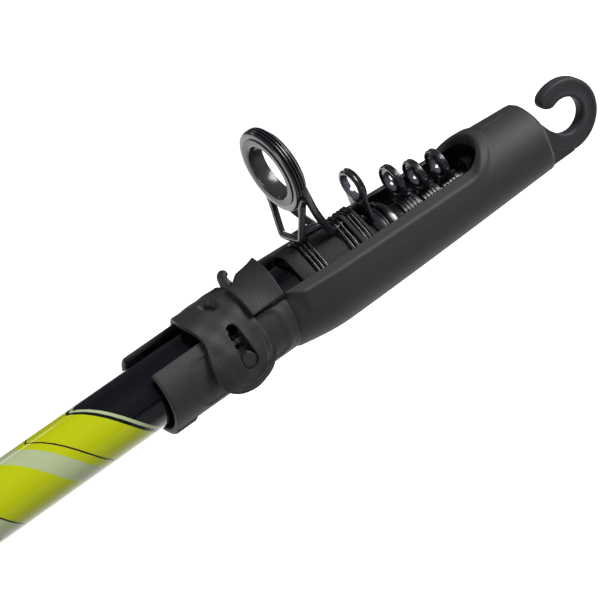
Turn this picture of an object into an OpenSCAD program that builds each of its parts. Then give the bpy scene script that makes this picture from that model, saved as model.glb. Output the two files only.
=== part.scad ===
// Telescopic spinning rod, pushed together for carrying.
// X runs along the rod from the butt's end face to the tip, Z points to the side
// of the line guides and the reel, and the butt's end face is at X = 0.
// All sizes are in millimetres.

/* [Butt blank] */
// Butt's end face to the tip end of the butt blank
blank_end = 500; // [470:1:560]
// Diameter of the butt blank at its base
blank_base_d = 19.2; // [18.6:0.1:20]
// Diameter of the butt blank at its tip end
blank_tip_d = 18; // [17.6:0.1:18.4]
// Wall of the butt blank
blank_wall = 1.1; // [0.9:0.05:1.3]

/* [Sections] */
// Tip diameter of the second section
s2_tip_d = 13.4; // [12.8:0.1:14]
// Tip diameter of the third section
s3_tip_d = 10.2; // [9.8:0.1:10.6]
// Tip diameter of the fourth section
s4_tip_d = 7.2; // [6.9:0.1:7.6]
// Tip diameter of the fifth section
s5_tip_d = 4.6; // [4.4:0.1:4.8]
// Tip diameter of the solid tip section
s6_tip_d = 2.2; // [1.8:0.1:2.4]
// Wall of the second section
s2_wall = 0.85; // [0.7:0.05:1]
// Wall of the third section
s3_wall = 0.75; // [0.6:0.05:0.9]
// Wall of the fourth section
s4_wall = 0.65; // [0.55:0.05:0.75]
// Wall of the fifth section
s5_wall = 0.55; // [0.45:0.05:0.6]
// How far the second section stands out of the blank
s2_out = 9; // [8.6:0.1:11]
// How far the third section stands out of the second
s3_out = 9; // [8.6:0.1:11]
// How far the fourth section stands out of the third
s4_out = 7.4; // [7:0.1:8]
// How far the fifth section stands out of the fourth
s5_out = 7.4; // [7:0.1:8]
// How far the tip section stands out of the fifth
s6_out = 2.6; // [2.4:0.1:4]
// Length of a section that stays in the next one when drawn out
overlap = 45; // [30:1:60]
// Gap between two sections where they seat
seat_gap = 0.06; // [0.03:0.01:0.1]
// Gap between glued or pressed pieces
glue_gap = 0.03; // [0.01:0.01:0.05]
// Gap between pieces that rest on each other
rest_gap = 0.3; // [0.2:0.05:0.4]

/* [Handle] */
// Length of the butt cap's head
butt_head_l = 12; // [9:0.5:16]
// Diameter of the butt cap's head
butt_head_d = 28; // [26:0.5:30]
// Finger grooves round the butt cap's head
butt_head_grooves = 20; // [12:1:28]
// Thickness of the rubber washer under the head
washer_t = 1.2; // [0.8:0.1:2]
// Thread diameter of the butt cap
butt_thread_d = 14; // [13:0.1:14.4]
// Length of the threaded sleeve in the blank
butt_sleeve_l = 16.4; // [12:0.2:22]
// Thickness of the rubber pad that the sections rest on
butt_pad_t = 2.4; // [1.5:0.1:4]
// Running gap of the threads
thread_gap = 0.08; // [0.03:0.01:0.1]
// Length of the rear grip
rear_grip_l = 134; // [100:1:150]
// Largest diameter of the rear grip
rear_grip_d = 28; // [26:0.5:30]
// How much thinner the rear grip's waist is
rear_grip_waist = 3.2; // [0:0.2:5]
// Length of the reel seat
seat_l = 122; // [116:1:126]
// Diameter of the reel seat's tube
seat_d = 23; // [22.4:0.1:23.6]
// Length of the fixed hood
fixed_hood_l = 22; // [18:0.5:26]
// Length of the moving hood
moving_hood_l = 19; // [17:0.5:20]
// Length of the lock nut
nut_l = 14; // [10:0.5:15]
// Diameter of the lock nut
nut_d = 28; // [27:0.5:30]
// Free thread between the lock nut and the fore grip
thread_free_l = 12.7; // [11:0.1:16]
// Width of a reel foot
foot_w = 15; // [13:0.5:16]
// Height of the pocket that holds a reel foot
foot_h = 5; // [4.6:0.1:5.4]
// Wall of the hoods over the reel foot
hood_wall = 1.8; // [1.4:0.1:2.4]
// Depth of the pockets
foot_depth = 15; // [13:0.5:16]
// Sliding gap of the moving hood and the lock nut
hood_gap = 0.1; // [0.05:0.01:0.15]
// Length of the fore grip
fore_grip_l = 46; // [36:1:56]
// Largest diameter of the fore grip
fore_grip_d = 26; // [24.5:0.5:28]
// Diameter of the fore grip's front end
fore_grip_tip_d = 21.5; // [21:0.1:23]
// Length of the trim ring
trim_l = 5; // [3:0.5:8]
// Wall of the trim ring
trim_wall = 0.9; // [0.6:0.1:1.4]

/* [First guide] */
// Height of the ring's centre over the rod's axis
g1_height = 33.4; // [32.5:0.1:36]
// Outer diameter of the ring's frame
g1_ring_d = 24.8; // [24.2:0.2:26]
// Wall of the ring's frame
g1_frame_wall = 2.1; // [1.8:0.1:2.3]
// Depth of the ring's frame along the rod
g1_frame_depth = 3.2; // [2.6:0.1:3.6]
// Hole of the ring's insert
g1_hole_d = 15.6; // [14:0.2:17]
// Diameter of the frame's wires
g1_wire_d = 1.9; // [1.6:0.1:2.1]
// Width of the rear legs where they meet the cross wire
g1_rear_w = 10; // [9:0.2:10.6]
// Width of the front legs at their feet
g1_front_w = 6.4; // [6.2:0.1:6.8]
// Height of the cross wire over the rod's axis
g1_cross_h = 14; // [13.8:0.1:15]
// Distance of the ring from the blank's tip end
g1_ring_back = 15.6; // [15:0.1:17]
// Distance of the cross wire from the blank's tip end
g1_cross_back = 18.9; // [18:0.1:20]
// Distance of the front feet from the blank's tip end
g1_front_back = 9.3; // [9:0.1:10]
// Width of the saddle between the legs
g1_saddle_w = 4.2; // [3.6:0.1:4.3]

/* [Whippings] */
// Length of the thin sleeve under the whippings
wrap_l = 25; // [24:0.5:28]
// Thickness of that sleeve
wrap_t = 0.2; // [0.15:0.01:0.25]
// Diameter of the whipping cord
cord_d = 0.8; // [0.6:0.05:0.85]
// Step of the whipping from turn to turn
cord_step = 1.5; // [1.4:0.05:1.6]
// How far the whippings stand off the wrap over the guide's feet
whip_rise = 1.9; // [1.7:0.05:2]
// Height of the guide's feet under the whippings
guide_foot_h = 1.3; // [0.8:0.05:1.4]
// Width of those feet
guide_foot_w = 3; // [2:0.1:3.4]
// Turns of the rear whipping
rear_turns = 5; // [3:1:5]
// Turns of the front whipping
front_turns = 4; // [3:1:4]

/* [Small guides] */
// Hole of the second guide's insert
g2_hole_d = 7.2; // [6.4:0.2:7.4]
// Height of the second guide's ring over the rod's axis
g2_height = 16.8; // [16.2:0.2:18]
// Hole of the third guide's insert
g3_hole_d = 6.2; // [5.4:0.2:6.4]
// Hole of the fourth guide's insert
g4_hole_d = 5.8; // [5:0.2:6]
// Hole of the fifth guide's insert
g5_hole_d = 5.6; // [5:0.2:5.8]
// Hole of the tip ring's insert
tip_hole_d = 4.2; // [3.6:0.2:4.4]
// Wall of the small inserts
insert_wall = 0.75; // [0.6:0.05:0.8]
// Wall of the small ring frames
ring_wall = 0.75; // [0.6:0.05:0.8]
// Depth of the small rings along the rod
ring_depth = 2.2; // [1.8:0.1:2.4]
// Length of the collars that hold the small guides
collar_l = 5.6; // [5:0.1:6]
// Wall of those collars
collar_wall = 0.7; // [0.6:0.05:0.8]
// Height of the ribs round a collar
rib_h = 0.35; // [0.2:0.05:0.4]

/* [Tip cap] */
// How far the ears reach back from the blank's tip end
ear_back = 75; // [70:0.5:80]
// Bore of the ears over the whippings
ear_bore_d = 20.8; // [20.7:0.1:21]
// Wall of the ears
ear_wall = 1.5; // [1.3:0.1:1.8]
// Width of the slot between the ears behind the strap
ear_slot_w = 14; // [13.6:0.1:15]
// Length of the low lug under the ears' rear end
lug_l = 7; // [4:0.5:9]
// How far the cap's body starts behind the blank's tip end
body_back = 32.5; // [32:0.5:36]
// Length of the swell where the body widens
swell_l = 16; // [14:0.5:20]
// Diameter of the body at its widest
body_d = 27.8; // [27.4:0.1:28.4]
// Diameter of the body at the slot's end
mid_d = 23.4; // [22.8:0.1:24]
// Diameter of the flat end
nose_d = 21.4; // [20.4:0.1:22]
// Free length between the tip ring and the end of the cap's bore
tip_clear = 4.6; // [3.8:0.1:8]
// Wall of the body
body_wall = 1.9; // [1.6:0.1:2.2]
// Rounding of the flat end
nose_round = 1.6; // [1.2:0.1:2.4]
// Solid length of the nose
nose_solid = 17; // [16:0.5:19]
// How far the body dips, in degrees
nose_dip = 1.5; // [0.8:0.1:1.8]
// Width of the guide slot at its wide rear end
slot_w = 18.8; // [18:0.2:19.6]
// Width of the guide slot at its round end
slot_end_w = 14.8; // [14:0.2:16]
// How far the slot stops short of the flat end
slot_short = 22; // [21:0.5:24]
// Width of the rim round the slot
rim_w = 3.5; // [2.6:0.1:4]
// Height of the rim's end over the body
rim_h = 0.4; // [0.2:0.1:0.6]
// Height of the rim's ridge over the body's axis at the body's rear end
ridge_h = 12; // [11.4:0.1:12.4]
// Slope of the rim's top across the rod, in degrees
rim_slope = 19.3; // [15:0.1:22]
// How far the rim's top drops towards the nose, in degrees
rim_dip = 2.1; // [1.4:0.1:2.4]
// How far the cap is turned on the rod, in degrees
cap_turn = 8; // [0:1:9]
// Outer radius of the hook
hook_r = 11; // [10:0.2:11.6]
// Width of the hook's bar
hook_bar = 4.9; // [4.4:0.1:5.4]
// Thickness of the hook
hook_t = 3.6; // [3.2:0.1:4.2]
// Bevel along the hook's edges
hook_bevel = 0.7; // [0.4:0.1:0.9]
// Angle where the hook's point ends
hook_end = 122; // [105:1:135]
// Distance from the flat end to the hook's centre
hook_out = 11.2; // [10.8:0.1:12]
// Diameter of the pegs for the strap
peg_d = 4.6; // [3.8:0.1:5]
// Height of the pegs
peg_h = 2; // [1.6:0.1:2.2]

/* [Strap] */
// Distance of the strap's middle from the blank's tip end
strap_back = 51; // [49:0.5:53]
// Width of the strap
strap_w = 17; // [14:0.5:18]
// Thickness of the strap
strap_t = 1.4; // [1:0.1:1.8]
// Gap between the strap and the ears
strap_gap = 0.05; // [0.03:0.01:0.1]
// Length of the slots in the strap, in degrees
strap_slot_a = 50; // [40:1:56]
// Width of those slots
strap_slot_w = 4; // [3:0.1:4.4]
// Length of the pull tab
tab_l = 9.5; // [7:0.1:9.6]
// Width of the pull tab
tab_w = 19.8; // [17:0.1:20]

/* [Hidden] */
$fn = 64;

// Handle places along the rod
washer_x = butt_head_l;
blank_x = butt_head_l + washer_t;
base_x = blank_x + butt_sleeve_l + rest_gap;
rear_grip_x = blank_x;
seat_x = rear_grip_x + rear_grip_l;
fore_grip_x = seat_x + seat_l;
trim_x = fore_grip_x + fore_grip_l;
nut_x = seat_x + seat_l - thread_free_l - nut_l;
moving_hood_x = nut_x - rest_gap - moving_hood_l;
foot_gap_l = moving_hood_x - seat_x - fixed_hood_l;

// Sections: 0 is the butt blank, 5 the solid tip
tip_d = [blank_tip_d, s2_tip_d, s3_tip_d, s4_tip_d, s5_tip_d, s6_tip_d];
wall = [blank_wall, s2_wall, s3_wall, s4_wall, s5_wall];
end_x = [
    blank_end,
    blank_end + s2_out,
    blank_end + s2_out + s3_out,
    blank_end + s2_out + s3_out + s4_out,
    blank_end + s2_out + s3_out + s4_out + s5_out,
    blank_end + s2_out + s3_out + s4_out + s5_out + s6_out
];
// Bore radius at the tip end of section k
function mouth_r(k) = tip_d[k] / 2 - wall[k];
function section_l(k) = end_x[k] - base_x;
// Outer radius lost for each millimetre of length
function taper(k) = (mouth_r(k - 1) - seat_gap - tip_d[k] / 2) / (section_l(k) - overlap);
// Outer radius of section k at x
function section_r(k, x) = tip_d[k] / 2 + taper(k) * (end_x[k] - x);
function blank_r(x) =
    blank_tip_d / 2 + (blank_base_d - blank_tip_d) / 2 * (blank_end - x) / (blank_end - blank_x);

// Guide places
g1_x = blank_end - g1_ring_back;
cross_x = blank_end - g1_cross_back;
front_x = blank_end - g1_front_back;
g1_insert_d = g1_ring_d - 2 * g1_frame_wall;
wrap_x = blank_end - wrap_l;
wrap_r = blank_r(wrap_x) + wrap_t;
saddle_x = wrap_x + cord_step * rear_turns + 2 * cord_d;
saddle_top = g1_cross_h - g1_wire_d / 2 - glue_gap;
front_whip_x = front_x + g1_wire_d / 2 + cord_d;
// The whippings run round the wrap and in straight lines up to the feet's edges
rise_y = guide_foot_w / 2 + 0.5;
rise_z = wrap_r + whip_rise;
rise_a = atan(rise_y / rise_z);
rise_b = rise_a + acos(wrap_r / norm([rise_y, rise_z]));
function rise_r(a) = let(b = abs(a)) b < rise_a ? rise_z / cos(b) : b < rise_b ? wrap_r / cos(rise_b - b) : wrap_r;
hole_d = [0, g2_hole_d, g3_hole_d, g4_hole_d, g5_hole_d, tip_hole_d];
function frame_ro(k) = hole_d[k] / 2 + insert_wall + ring_wall + glue_gap;
function collar_r(k) = section_r(k, end_x[k] - collar_l) + glue_gap + collar_wall;
function ring_z(k) = k == 1 ? g2_height : collar_r(k) + rib_h + frame_ro(k) - ring_wall / 2;
function ring_x(k) = end_x[k] - collar_l + ring_depth / 2;

// The tip ring stands a little above the rod's axis, in front of a thin plate
tip_ring_z = 0.8;

// Cap places
ear_x = blank_end - ear_back;
body_x = blank_end - body_back;
tip_plate = 0.8;
tip_x = end_x[5] + glue_gap + tip_plate;
// Length of the cap's body up to its flat end
body_l = tip_x + ring_depth + tip_clear + nose_solid - body_x;
ear_r = ear_bore_d / 2 + ear_wall;
slot_end = body_l - slot_short;
strap_x = blank_end - strap_back;
strap_r = ear_r + strap_gap;

// A solid turned about the rod's axis from points [radius, x]
module turned(points) {
    rotate([0, 90, 0]) rotate_extrude() polygon(points);
}

// A tube about the rod's axis
module sleeve(x, l, ro0, ro1, ri0, ri1) {
    turned([[ri0, x], [ro0, x], [ro1, x + l], [ri1, x + l]]);
}

// A round wire between two points
module wire(a, b, d) {
    v = b - a;
    l = norm(v);
    translate(a)
        rotate([0, acos(v[2] / l), atan2(v[1], v[0])])
            cylinder(d = d, h = l);
}

// A ring round X from the profile [radius, x], standing at height z
module standing_ring(x, z, points) {
    translate([x, 0, z]) turned(points);
}

// Whipping: one cord wound round the rod, over the feet if raised, its ends straight for one diameter
function whip_path(x, turns, r, raised) = let(
    n = 24,
    coil = [
        for (i = [0 : n * turns]) let(
            a = 360 * i / n + 180,
            b = abs((360 * i / n) % 360 - 180),
            q = (r + (raised ? rise_r(b) - wrap_r : 0)) / cos(180 / n)
        ) [x + cord_step * i / n, q * sin(a), q * cos(a)]
    ],
    a = coil[0] - coil[1],
    b = coil[n * turns] - coil[n * turns - 1]
) concat([coil[0] + a * cord_d / norm(a)], coil, [coil[n * turns] + b * cord_d / norm(b)]);

function unit(v) = v / norm(v);

module whipping(x, turns, r, raised) {
    path = whip_path(x, turns, r, raised);
    count = len(path);
    sides = 6;
    points = [
        for (i = [0 : count - 1]) let(
            t = unit(path[min(i + 1, count - 1)] - path[max(i - 1, 0)]),
            out = unit([0, path[i][1], path[i][2]]),
            u = unit(out - t * (out * t)),
            w = cross(t, u)
        ) for (j = [0 : sides - 1]) path[i] + cord_d / 2 * (u * cos(60 * j) + w * sin(60 * j))
    ];
    skin = [
        for (i = [0 : count - 2], j = [0 : sides - 1]) let(
            a = i * sides + j,
            b = i * sides + (j + 1) % sides
        ) each [[a, b, a + sides], [b, b + sides, a + sides]]
    ];
    last = (count - 1) * sides;
    lids = [for (j = [1 : sides - 2]) each [[0, j + 1, j], [last, last + j, last + j + 1]]];
    polyhedron(points, concat(skin, lids));
    gap = min([
        for (i = [0 : count - 1], j = [i + 13 : 1 : count - 1]) norm(path[i] - path[j])
    ]) - cord_d;
    echo(str("least gap of the whipping at ", x, ": ", gap));
}

module butt_blank() {
    seat_r = mouth_r(0) + taper(1) * overlap;
    color("yellow")
        turned([
            [blank_base_d / 2 - blank_wall, blank_x], [blank_base_d / 2, blank_x], [blank_tip_d / 2, blank_end],
            [mouth_r(0), blank_end], [seat_r, blank_end - overlap]
        ]);
}

module butt_sleeve() {
    color("silver")
        sleeve(
            blank_x, butt_sleeve_l, blank_base_d / 2 - blank_wall - glue_gap,
            blank_base_d / 2 - blank_wall - glue_gap - (blank_base_d - blank_tip_d) / 2 * butt_sleeve_l / blank_end,
            butt_thread_d / 2, butt_thread_d / 2
        );
}

module butt_washer() {
    color("black")
        sleeve(washer_x, washer_t, blank_base_d / 2, blank_base_d / 2, butt_thread_d / 2, butt_thread_d / 2);
}

module butt_cap() {
    edge = 1.5;
    groove_d = 2.4;
    plug_l = washer_t + butt_sleeve_l - butt_pad_t;
    color("dimgray") {
        difference() {
            turned([
                [0, 0], [butt_head_d / 2 - edge, 0], [butt_head_d / 2, edge],
                [butt_head_d / 2, butt_head_l - edge], [butt_head_d / 2 - edge, butt_head_l], [0, butt_head_l]
            ]);
            for (i = [0 : butt_head_grooves - 1])
                rotate([360 * i / butt_head_grooves, 0, 0])
                    translate([2 * edge, 0, butt_head_d / 2 + groove_d / 4])
                        rotate([0, 90, 0])
                            cylinder(d = groove_d, h = butt_head_l);
        }
        sleeve(
            butt_head_l, plug_l, butt_thread_d / 2 - thread_gap, butt_thread_d / 2 - thread_gap, 0, 0
        );
    }
}

module butt_pad() {
    color("black")
        sleeve(
            butt_head_l + washer_t + butt_sleeve_l - butt_pad_t, butt_pad_t, butt_thread_d / 2 - rest_gap,
            butt_thread_d / 2 - rest_gap, 0, 0
        );
}

module rear_grip() {
    steps = 14;
    edge = 2;
    x0 = rear_grip_x;
    x1 = rear_grip_x + rear_grip_l;
    outer = [
        for (i = [0 : steps])
            [
                rear_grip_d / 2 - rear_grip_waist / 2 * pow(sin(180 * i / steps), 2),
                x0 + edge + (rear_grip_l - 2 * edge) * i / steps
            ]
    ];
    color("black")
        turned(concat(
            [[blank_r(x0) + glue_gap, x0], [rear_grip_d / 2 - edge, x0]], outer,
            [[rear_grip_d / 2 - edge, x1], [blank_r(x1) + glue_gap, x1]]
        ));
}

module seat_tube() {
    x1 = seat_x + seat_l;
    color("black")
        difference() {
            sleeve(
                seat_x, seat_l, seat_d / 2, seat_d / 2, blank_r(seat_x) + glue_gap, blank_r(x1) + glue_gap
            );
            // Flat that a reel foot rests on
            translate([seat_x + fixed_hood_l - foot_depth, -foot_w / 2, seat_d / 2 - 0.4])
                cube([foot_depth + foot_gap_l + moving_hood_l, foot_w, 2]);
        }
}

// Outline of a hood across the rod: a ring with a raised roof over the reel foot
module hood_outline(r) {
    roof_w = foot_w + 2 * hood_wall;
    circle(r = r);
    translate([-roof_w / 2, 0]) square([roof_w, seat_d / 2 + foot_h + hood_wall - 2]);
    translate([-roof_w / 2 + 2, 0]) square([roof_w - 4, seat_d / 2 + foot_h + hood_wall]);
    for (s = [-1, 1])
        translate([s * (roof_w / 2 - 2), seat_d / 2 + foot_h + hood_wall - 2]) circle(r = 2);
}

// A hood from x over length l, its pocket open at mouth_x
module hood(x, l, bore_r, pocket_x) {
    difference() {
        translate([x, 0, 0]) rotate([90, 0, 90]) linear_extrude(l) hood_outline(bore_r + hood_wall);
        translate([x - 1, 0, 0]) rotate([0, 90, 0]) cylinder(r = bore_r, h = l + 2);
        translate([pocket_x, -foot_w / 2, 0]) cube([foot_depth + 1, foot_w, seat_d / 2 + foot_h]);
    }
}

module fixed_hood() {
    color("dimgray")
        hood(
            seat_x, fixed_hood_l, seat_d / 2 + glue_gap, seat_x + fixed_hood_l - foot_depth
        );
}

module moving_hood() {
    color("dimgray")
        hood(
            moving_hood_x, moving_hood_l, seat_d / 2 + hood_gap, moving_hood_x - 1
        );
}

module lock_nut() {
    ribs = 18;
    rib_d = 2;
    color("dimgray") {
        sleeve(nut_x, nut_l, nut_d / 2 - 1, nut_d / 2 - 1, seat_d / 2 + hood_gap, seat_d / 2 + hood_gap);
        for (i = [0 : ribs - 1])
            rotate([360 * i / ribs, 0, 0])
                translate([nut_x + 1, 0, nut_d / 2 - 1])
                    rotate([0, 90, 0])
                        cylinder(d = rib_d, h = nut_l - 2);
    }
}

module fore_grip() {
    steps = 10;
    x0 = fore_grip_x;
    x1 = x0 + fore_grip_l;
    edge = 2;
    outer = [
        for (i = [0 : steps]) let(t = i / steps)
            [
                fore_grip_d / 2 - (fore_grip_d - fore_grip_tip_d) / 2 * pow(sin(90 * t), 2),
                x0 + edge + (fore_grip_l - 2 * edge) * t
            ]
    ];
    color("black")
        turned(concat(
            [[blank_r(x0) + glue_gap, x0], [fore_grip_d / 2 - edge / 2, x0]], outer,
            [[fore_grip_tip_d / 2 - edge / 2, x1], [blank_r(x1) + glue_gap, x1]]
        ));
}

module trim_ring() {
    r = blank_r(trim_x) + glue_gap;
    color("gold")
        turned([
            [r, trim_x], [r + trim_wall, trim_x], [r + trim_wall, trim_x + trim_l * 0.6],
            [r + trim_wall / 2, trim_x + trim_l], [r, trim_x + trim_l]
        ]);
}

module guide_1_wrap() {
    x1 = blank_end;
    color("black")
        sleeve(wrap_x, wrap_l, wrap_r, wrap_r, blank_r(wrap_x) + glue_gap, blank_r(x1) + glue_gap);
}

// Domed block on the wrap that carries the guide's frame
module guide_1_saddle() {
    l = front_x - saddle_x;
    w = g1_saddle_w;
    color("black")
        difference() {
            union() {
                translate([saddle_x, -w / 2, 0]) cube([l, w, saddle_top - w / 2]);
                translate([saddle_x, 0, saddle_top - w / 2]) rotate([0, 90, 0]) cylinder(d = w, h = l);
            }
            translate([saddle_x - 1, 0, 0])
                rotate([0, 90, 0])
                    cylinder(r = wrap_r + glue_gap, h = l + 2);
            translate([saddle_x - 1, -w, saddle_top - 0.4]) cube([l + 2, 2 * w, w]);
        }
}

module guide_1_frame() {
    ro = g1_ring_d / 2;
    ri = g1_insert_d / 2;
    d = g1_frame_depth / 2;
    mid_r = (ro + ri) / 2;
    leg_a = 38;
    front_a = 62;
    rear_top = [g1_x, mid_r * sin(leg_a), g1_height - mid_r * cos(leg_a)];
    rear_foot = [cross_x, g1_rear_w / 2, g1_cross_h];
    front_top = [g1_x + d / 2, mid_r * sin(front_a), g1_height - mid_r * cos(front_a)];
    front_r = wrap_r + 2 * glue_gap + g1_wire_d / 2;
    front_y = g1_front_w / 2;
    front_foot = [front_x, front_y, sqrt(front_r * front_r - front_y * front_y)];
    color("black") {
        // Ring with a groove between its two lips
        standing_ring(g1_x, g1_height, [
            [ri, -d], [ro - 0.5, -d], [ro, -d + 0.5], [ro, -0.5], [ro - 0.6, 0], [ro, 0.5], [ro, d - 0.5],
            [ro - 0.5, d], [ri, d]
        ]);
        for (s = [0, 1]) mirror([0, s, 0]) {
            wire(rear_top, rear_foot, g1_wire_d);
            wire(front_top, front_foot, g1_wire_d);
            translate(rear_foot) sphere(d = g1_wire_d + 0.1);
            translate(front_foot) sphere(d = g1_wire_d + 0.05);
        }
        wire([rear_foot[0], -rear_foot[1], rear_foot[2]], rear_foot, g1_wire_d);
        // Tongue that lies on the saddle
        translate([cross_x, -g1_saddle_w / 2, g1_cross_h - g1_wire_d / 2])
            cube([front_x - cross_x, g1_saddle_w, 1]);
        // Feet that lie on the wrap under the whippings, and the webs that carry them
        difference() {
            union() {
                translate([wrap_x + 0.6, -guide_foot_w / 2, 0])
                    cube([saddle_x - 0.3 - wrap_x - 0.6, guide_foot_w, wrap_r + guide_foot_h]);
                translate([saddle_x - 1.1, -guide_foot_w / 2 + 0.3, 0])
                    cube([0.75, guide_foot_w - 0.6, g1_cross_h - 0.1]);
                translate([front_x + 0.3, -guide_foot_w / 2, 0])
                    cube([blank_end - front_x - 0.9, guide_foot_w, wrap_r + guide_foot_h]);
                translate([front_x - 0.4, -guide_foot_w / 2 + 0.3, 0])
                    cube([1.2, guide_foot_w - 0.6, g1_cross_h - 0.1]);
            }
            translate([wrap_x - 1, 0, 0])
                rotate([0, 90, 0])
                    cylinder(r = wrap_r + 2 * glue_gap, h = wrap_l + 2);
            translate([saddle_x - 0.2, -g1_saddle_w, 0])
                cube([front_x - saddle_x + 0.25, 2 * g1_saddle_w, saddle_top + 0.01]);
        }
    }
}

module guide_1_insert() {
    ri = g1_hole_d / 2;
    ro = g1_insert_d / 2 - glue_gap;
    d = g1_frame_depth / 2 + 0.5;
    round = (ro - ri) / 2.2;
    lower = [for (i = [0 : 4]) let(a = 90 * i / 4) [ri + round - round * sin(a), -d + round - round * cos(a)]];
    upper = [for (i = [4 : -1 : 0]) let(a = 90 * i / 4) [ri + round - round * sin(a), d - round + round * cos(a)]];
    color("gray")
        standing_ring(g1_x, g1_height, concat(
            [[ro, -g1_frame_depth / 2]], [[ro - 0.8, -d]], lower, upper,
            [[ro - 0.8, d], [ro, g1_frame_depth / 2]]
        ));
}

module guide_1_rear_whipping() {
    color("dimgray") whipping(wrap_x + cord_d, rear_turns, wrap_r + glue_gap + cord_d / 2, true);
}

module guide_1_front_whipping() {
    color("dimgray") whipping(front_whip_x, front_turns, wrap_r + glue_gap + cord_d / 2, true);
}

// A hollow section, its bore seating the next one at the tip end
module section(k) {
    r0 = section_r(k, base_x);
    turned([
        [r0 - wall[k], base_x], [r0, base_x], [tip_d[k] / 2, end_x[k]], [mouth_r(k), end_x[k]],
        [mouth_r(k) + taper(k + 1) * overlap, end_x[k] - overlap]
    ]);
}

// Collar with ribs, a stem and a ring frame on the tip end of section k
module small_guide(k, plain) {
    x0 = end_x[k] - collar_l;
    bore = section_r(k, x0) + glue_gap;
    r = bore + collar_wall;
    step = collar_l / 5;
    ribs = [
        for (i = [1 : 4]) let(h = plain ? 0 : rib_h)
            each [[r, x0 + step * (i - 0.3)], [r + h, x0 + step * (i - 0.1)], [r + h, x0 + step * (i + 0.1)],
                  [r, x0 + step * (i + 0.3)]]
    ];
    z = ring_z(k);
    ro = frame_ro(k);
    stem_w = ro;
    turned(concat([[bore, x0], [r, x0]], ribs, [[r, end_x[k]], [bore, end_x[k]]]));
    difference() {
        translate([x0, -stem_w / 2, 0]) cube([ring_depth, stem_w, z]);
        translate([x0 - 1, 0, 0]) rotate([0, 90, 0]) cylinder(r = bore + collar_wall / 2, h = ring_depth + 2);
        translate([x0 - 1, 0, z]) rotate([0, 90, 0]) cylinder(r = ro - ring_wall / 2, h = ring_depth + 2);
    }
    difference() {
        standing_ring(ring_x(k), z, [
            [ro - ring_wall, -ring_depth / 2], [ro - 0.2, -ring_depth / 2], [ro, -ring_depth / 2 + 0.3],
            [ro, ring_depth / 2 - 0.3], [ro - 0.2, ring_depth / 2], [ro - ring_wall, ring_depth / 2]
        ]);
        translate([x0 - 1, 0, 0]) rotate([0, 90, 0]) cylinder(r = bore, h = ring_depth + 2);
    }
}

// Hard ring in a small ring frame
module small_insert(x, z, hole) {
    ri = hole / 2;
    ro = ri + insert_wall;
    d = ring_depth / 2;
    round = insert_wall * 0.8;
    half = [for (i = [0 : 4]) let(a = 90 * i / 4) [ri + round - round * sin(a), -d + round - round * cos(a)]];
    upper = [for (i = [4 : -1 : 0]) let(a = 90 * i / 4) [ri + round - round * sin(a), d - round + round * cos(a)]];
    standing_ring(x, z, concat([[ro, -d]], half, upper, [[ro, d]]));
}

module section_2() { color("black") section(1); }
module section_3() { color("black") section(2); }
module section_4() { color("black") section(3); }
module section_5() { color("black") section(4); }
module section_6() {
    color("black")
        turned([[0, base_x], [section_r(5, base_x), base_x], [tip_d[5] / 2, end_x[5]], [0, end_x[5]]]);
}

module guide_2_frame() { color("black") small_guide(1, true); }
module guide_3_frame() { color("black") small_guide(2, false); }
module guide_4_frame() { color("black") small_guide(3, false); }
module guide_5_frame() { color("black") small_guide(4, false); }
module guide_2_insert() { color("lightgray") small_insert(ring_x(1), ring_z(1), g2_hole_d); }
module guide_3_insert() { color("lightgray") small_insert(ring_x(2), ring_z(2), g3_hole_d); }
module guide_4_insert() { color("lightgray") small_insert(ring_x(3), ring_z(3), g4_hole_d); }
module guide_5_insert() { color("lightgray") small_insert(ring_x(4), ring_z(4), g5_hole_d); }

// Wound on the second guide's collar ahead of its ring
module guide_2_whipping() {
    color("dimgray")
        whipping(end_x[1] - collar_l + ring_depth + cord_d, 1, collar_r(1) + glue_gap + cord_d / 2, false);
}

// Tube that closes over the tip, with the last ring in front
module tip_top() {
    x0 = end_x[5] - s6_out + rest_gap;
    bore = section_r(5, x0) + glue_gap;
    r = bore + 0.5;
    ro = frame_ro(5);
    x1 = tip_x;
    color("black") {
        turned([[bore, x0], [r, x0], [r, x1], [0, x1], [0, end_x[5] + glue_gap], [bore, end_x[5] + glue_gap]]);
        standing_ring(x1 + ring_depth / 2, tip_ring_z, [
            [ro - ring_wall, -ring_depth / 2], [ro, -ring_depth / 2], [ro, ring_depth / 2],
            [ro - ring_wall, ring_depth / 2]
        ]);
        difference() {
            translate([x1 - tip_plate, -r, tip_ring_z - ro]) cube([tip_plate, 2 * r, ro]);
            translate([x1 - 1, 0, 0]) rotate([0, 90, 0]) cylinder(r = bore, h = 0.2);
        }
    }
}

module tip_insert() {
    color("lightgray") small_insert(tip_x + ring_depth / 2, tip_ring_z, tip_hole_d);
}

// A band round the rod's axis between two radii, over the angles a0 to a1 from +Z towards +Y
module band(x, l, r0, r1, a0, a1) {
    translate([x, 0, 0])
        rotate([0, 90, 0])
            rotate([0, 0, 180 - a1])
                rotate_extrude(angle = a1 - a0)
                    translate([r0, 0])
                        square([r1 - r0, l]);
}

// Outline seen from above: w0 wide from x0 to x1, narrowing to w2 and ending round at x2. Its
// rear corners are cut off over the length cut.
module slot_outline(x0, x1, x2, w0, w2, cut) {
    start = w0 / 2 - 0.75 * cut;
    polygon([
        [x0, -start], [x0 + cut, -w0 / 2], [x1, -w0 / 2], [x2 - w2 / 2, -w2 / 2], [x2 - w2 / 2, w2 / 2],
        [x1, w0 / 2], [x0 + cut, w0 / 2], [x0, start]
    ]);
    translate([x2 - w2 / 2, 0]) circle(d = w2);
}

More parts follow.
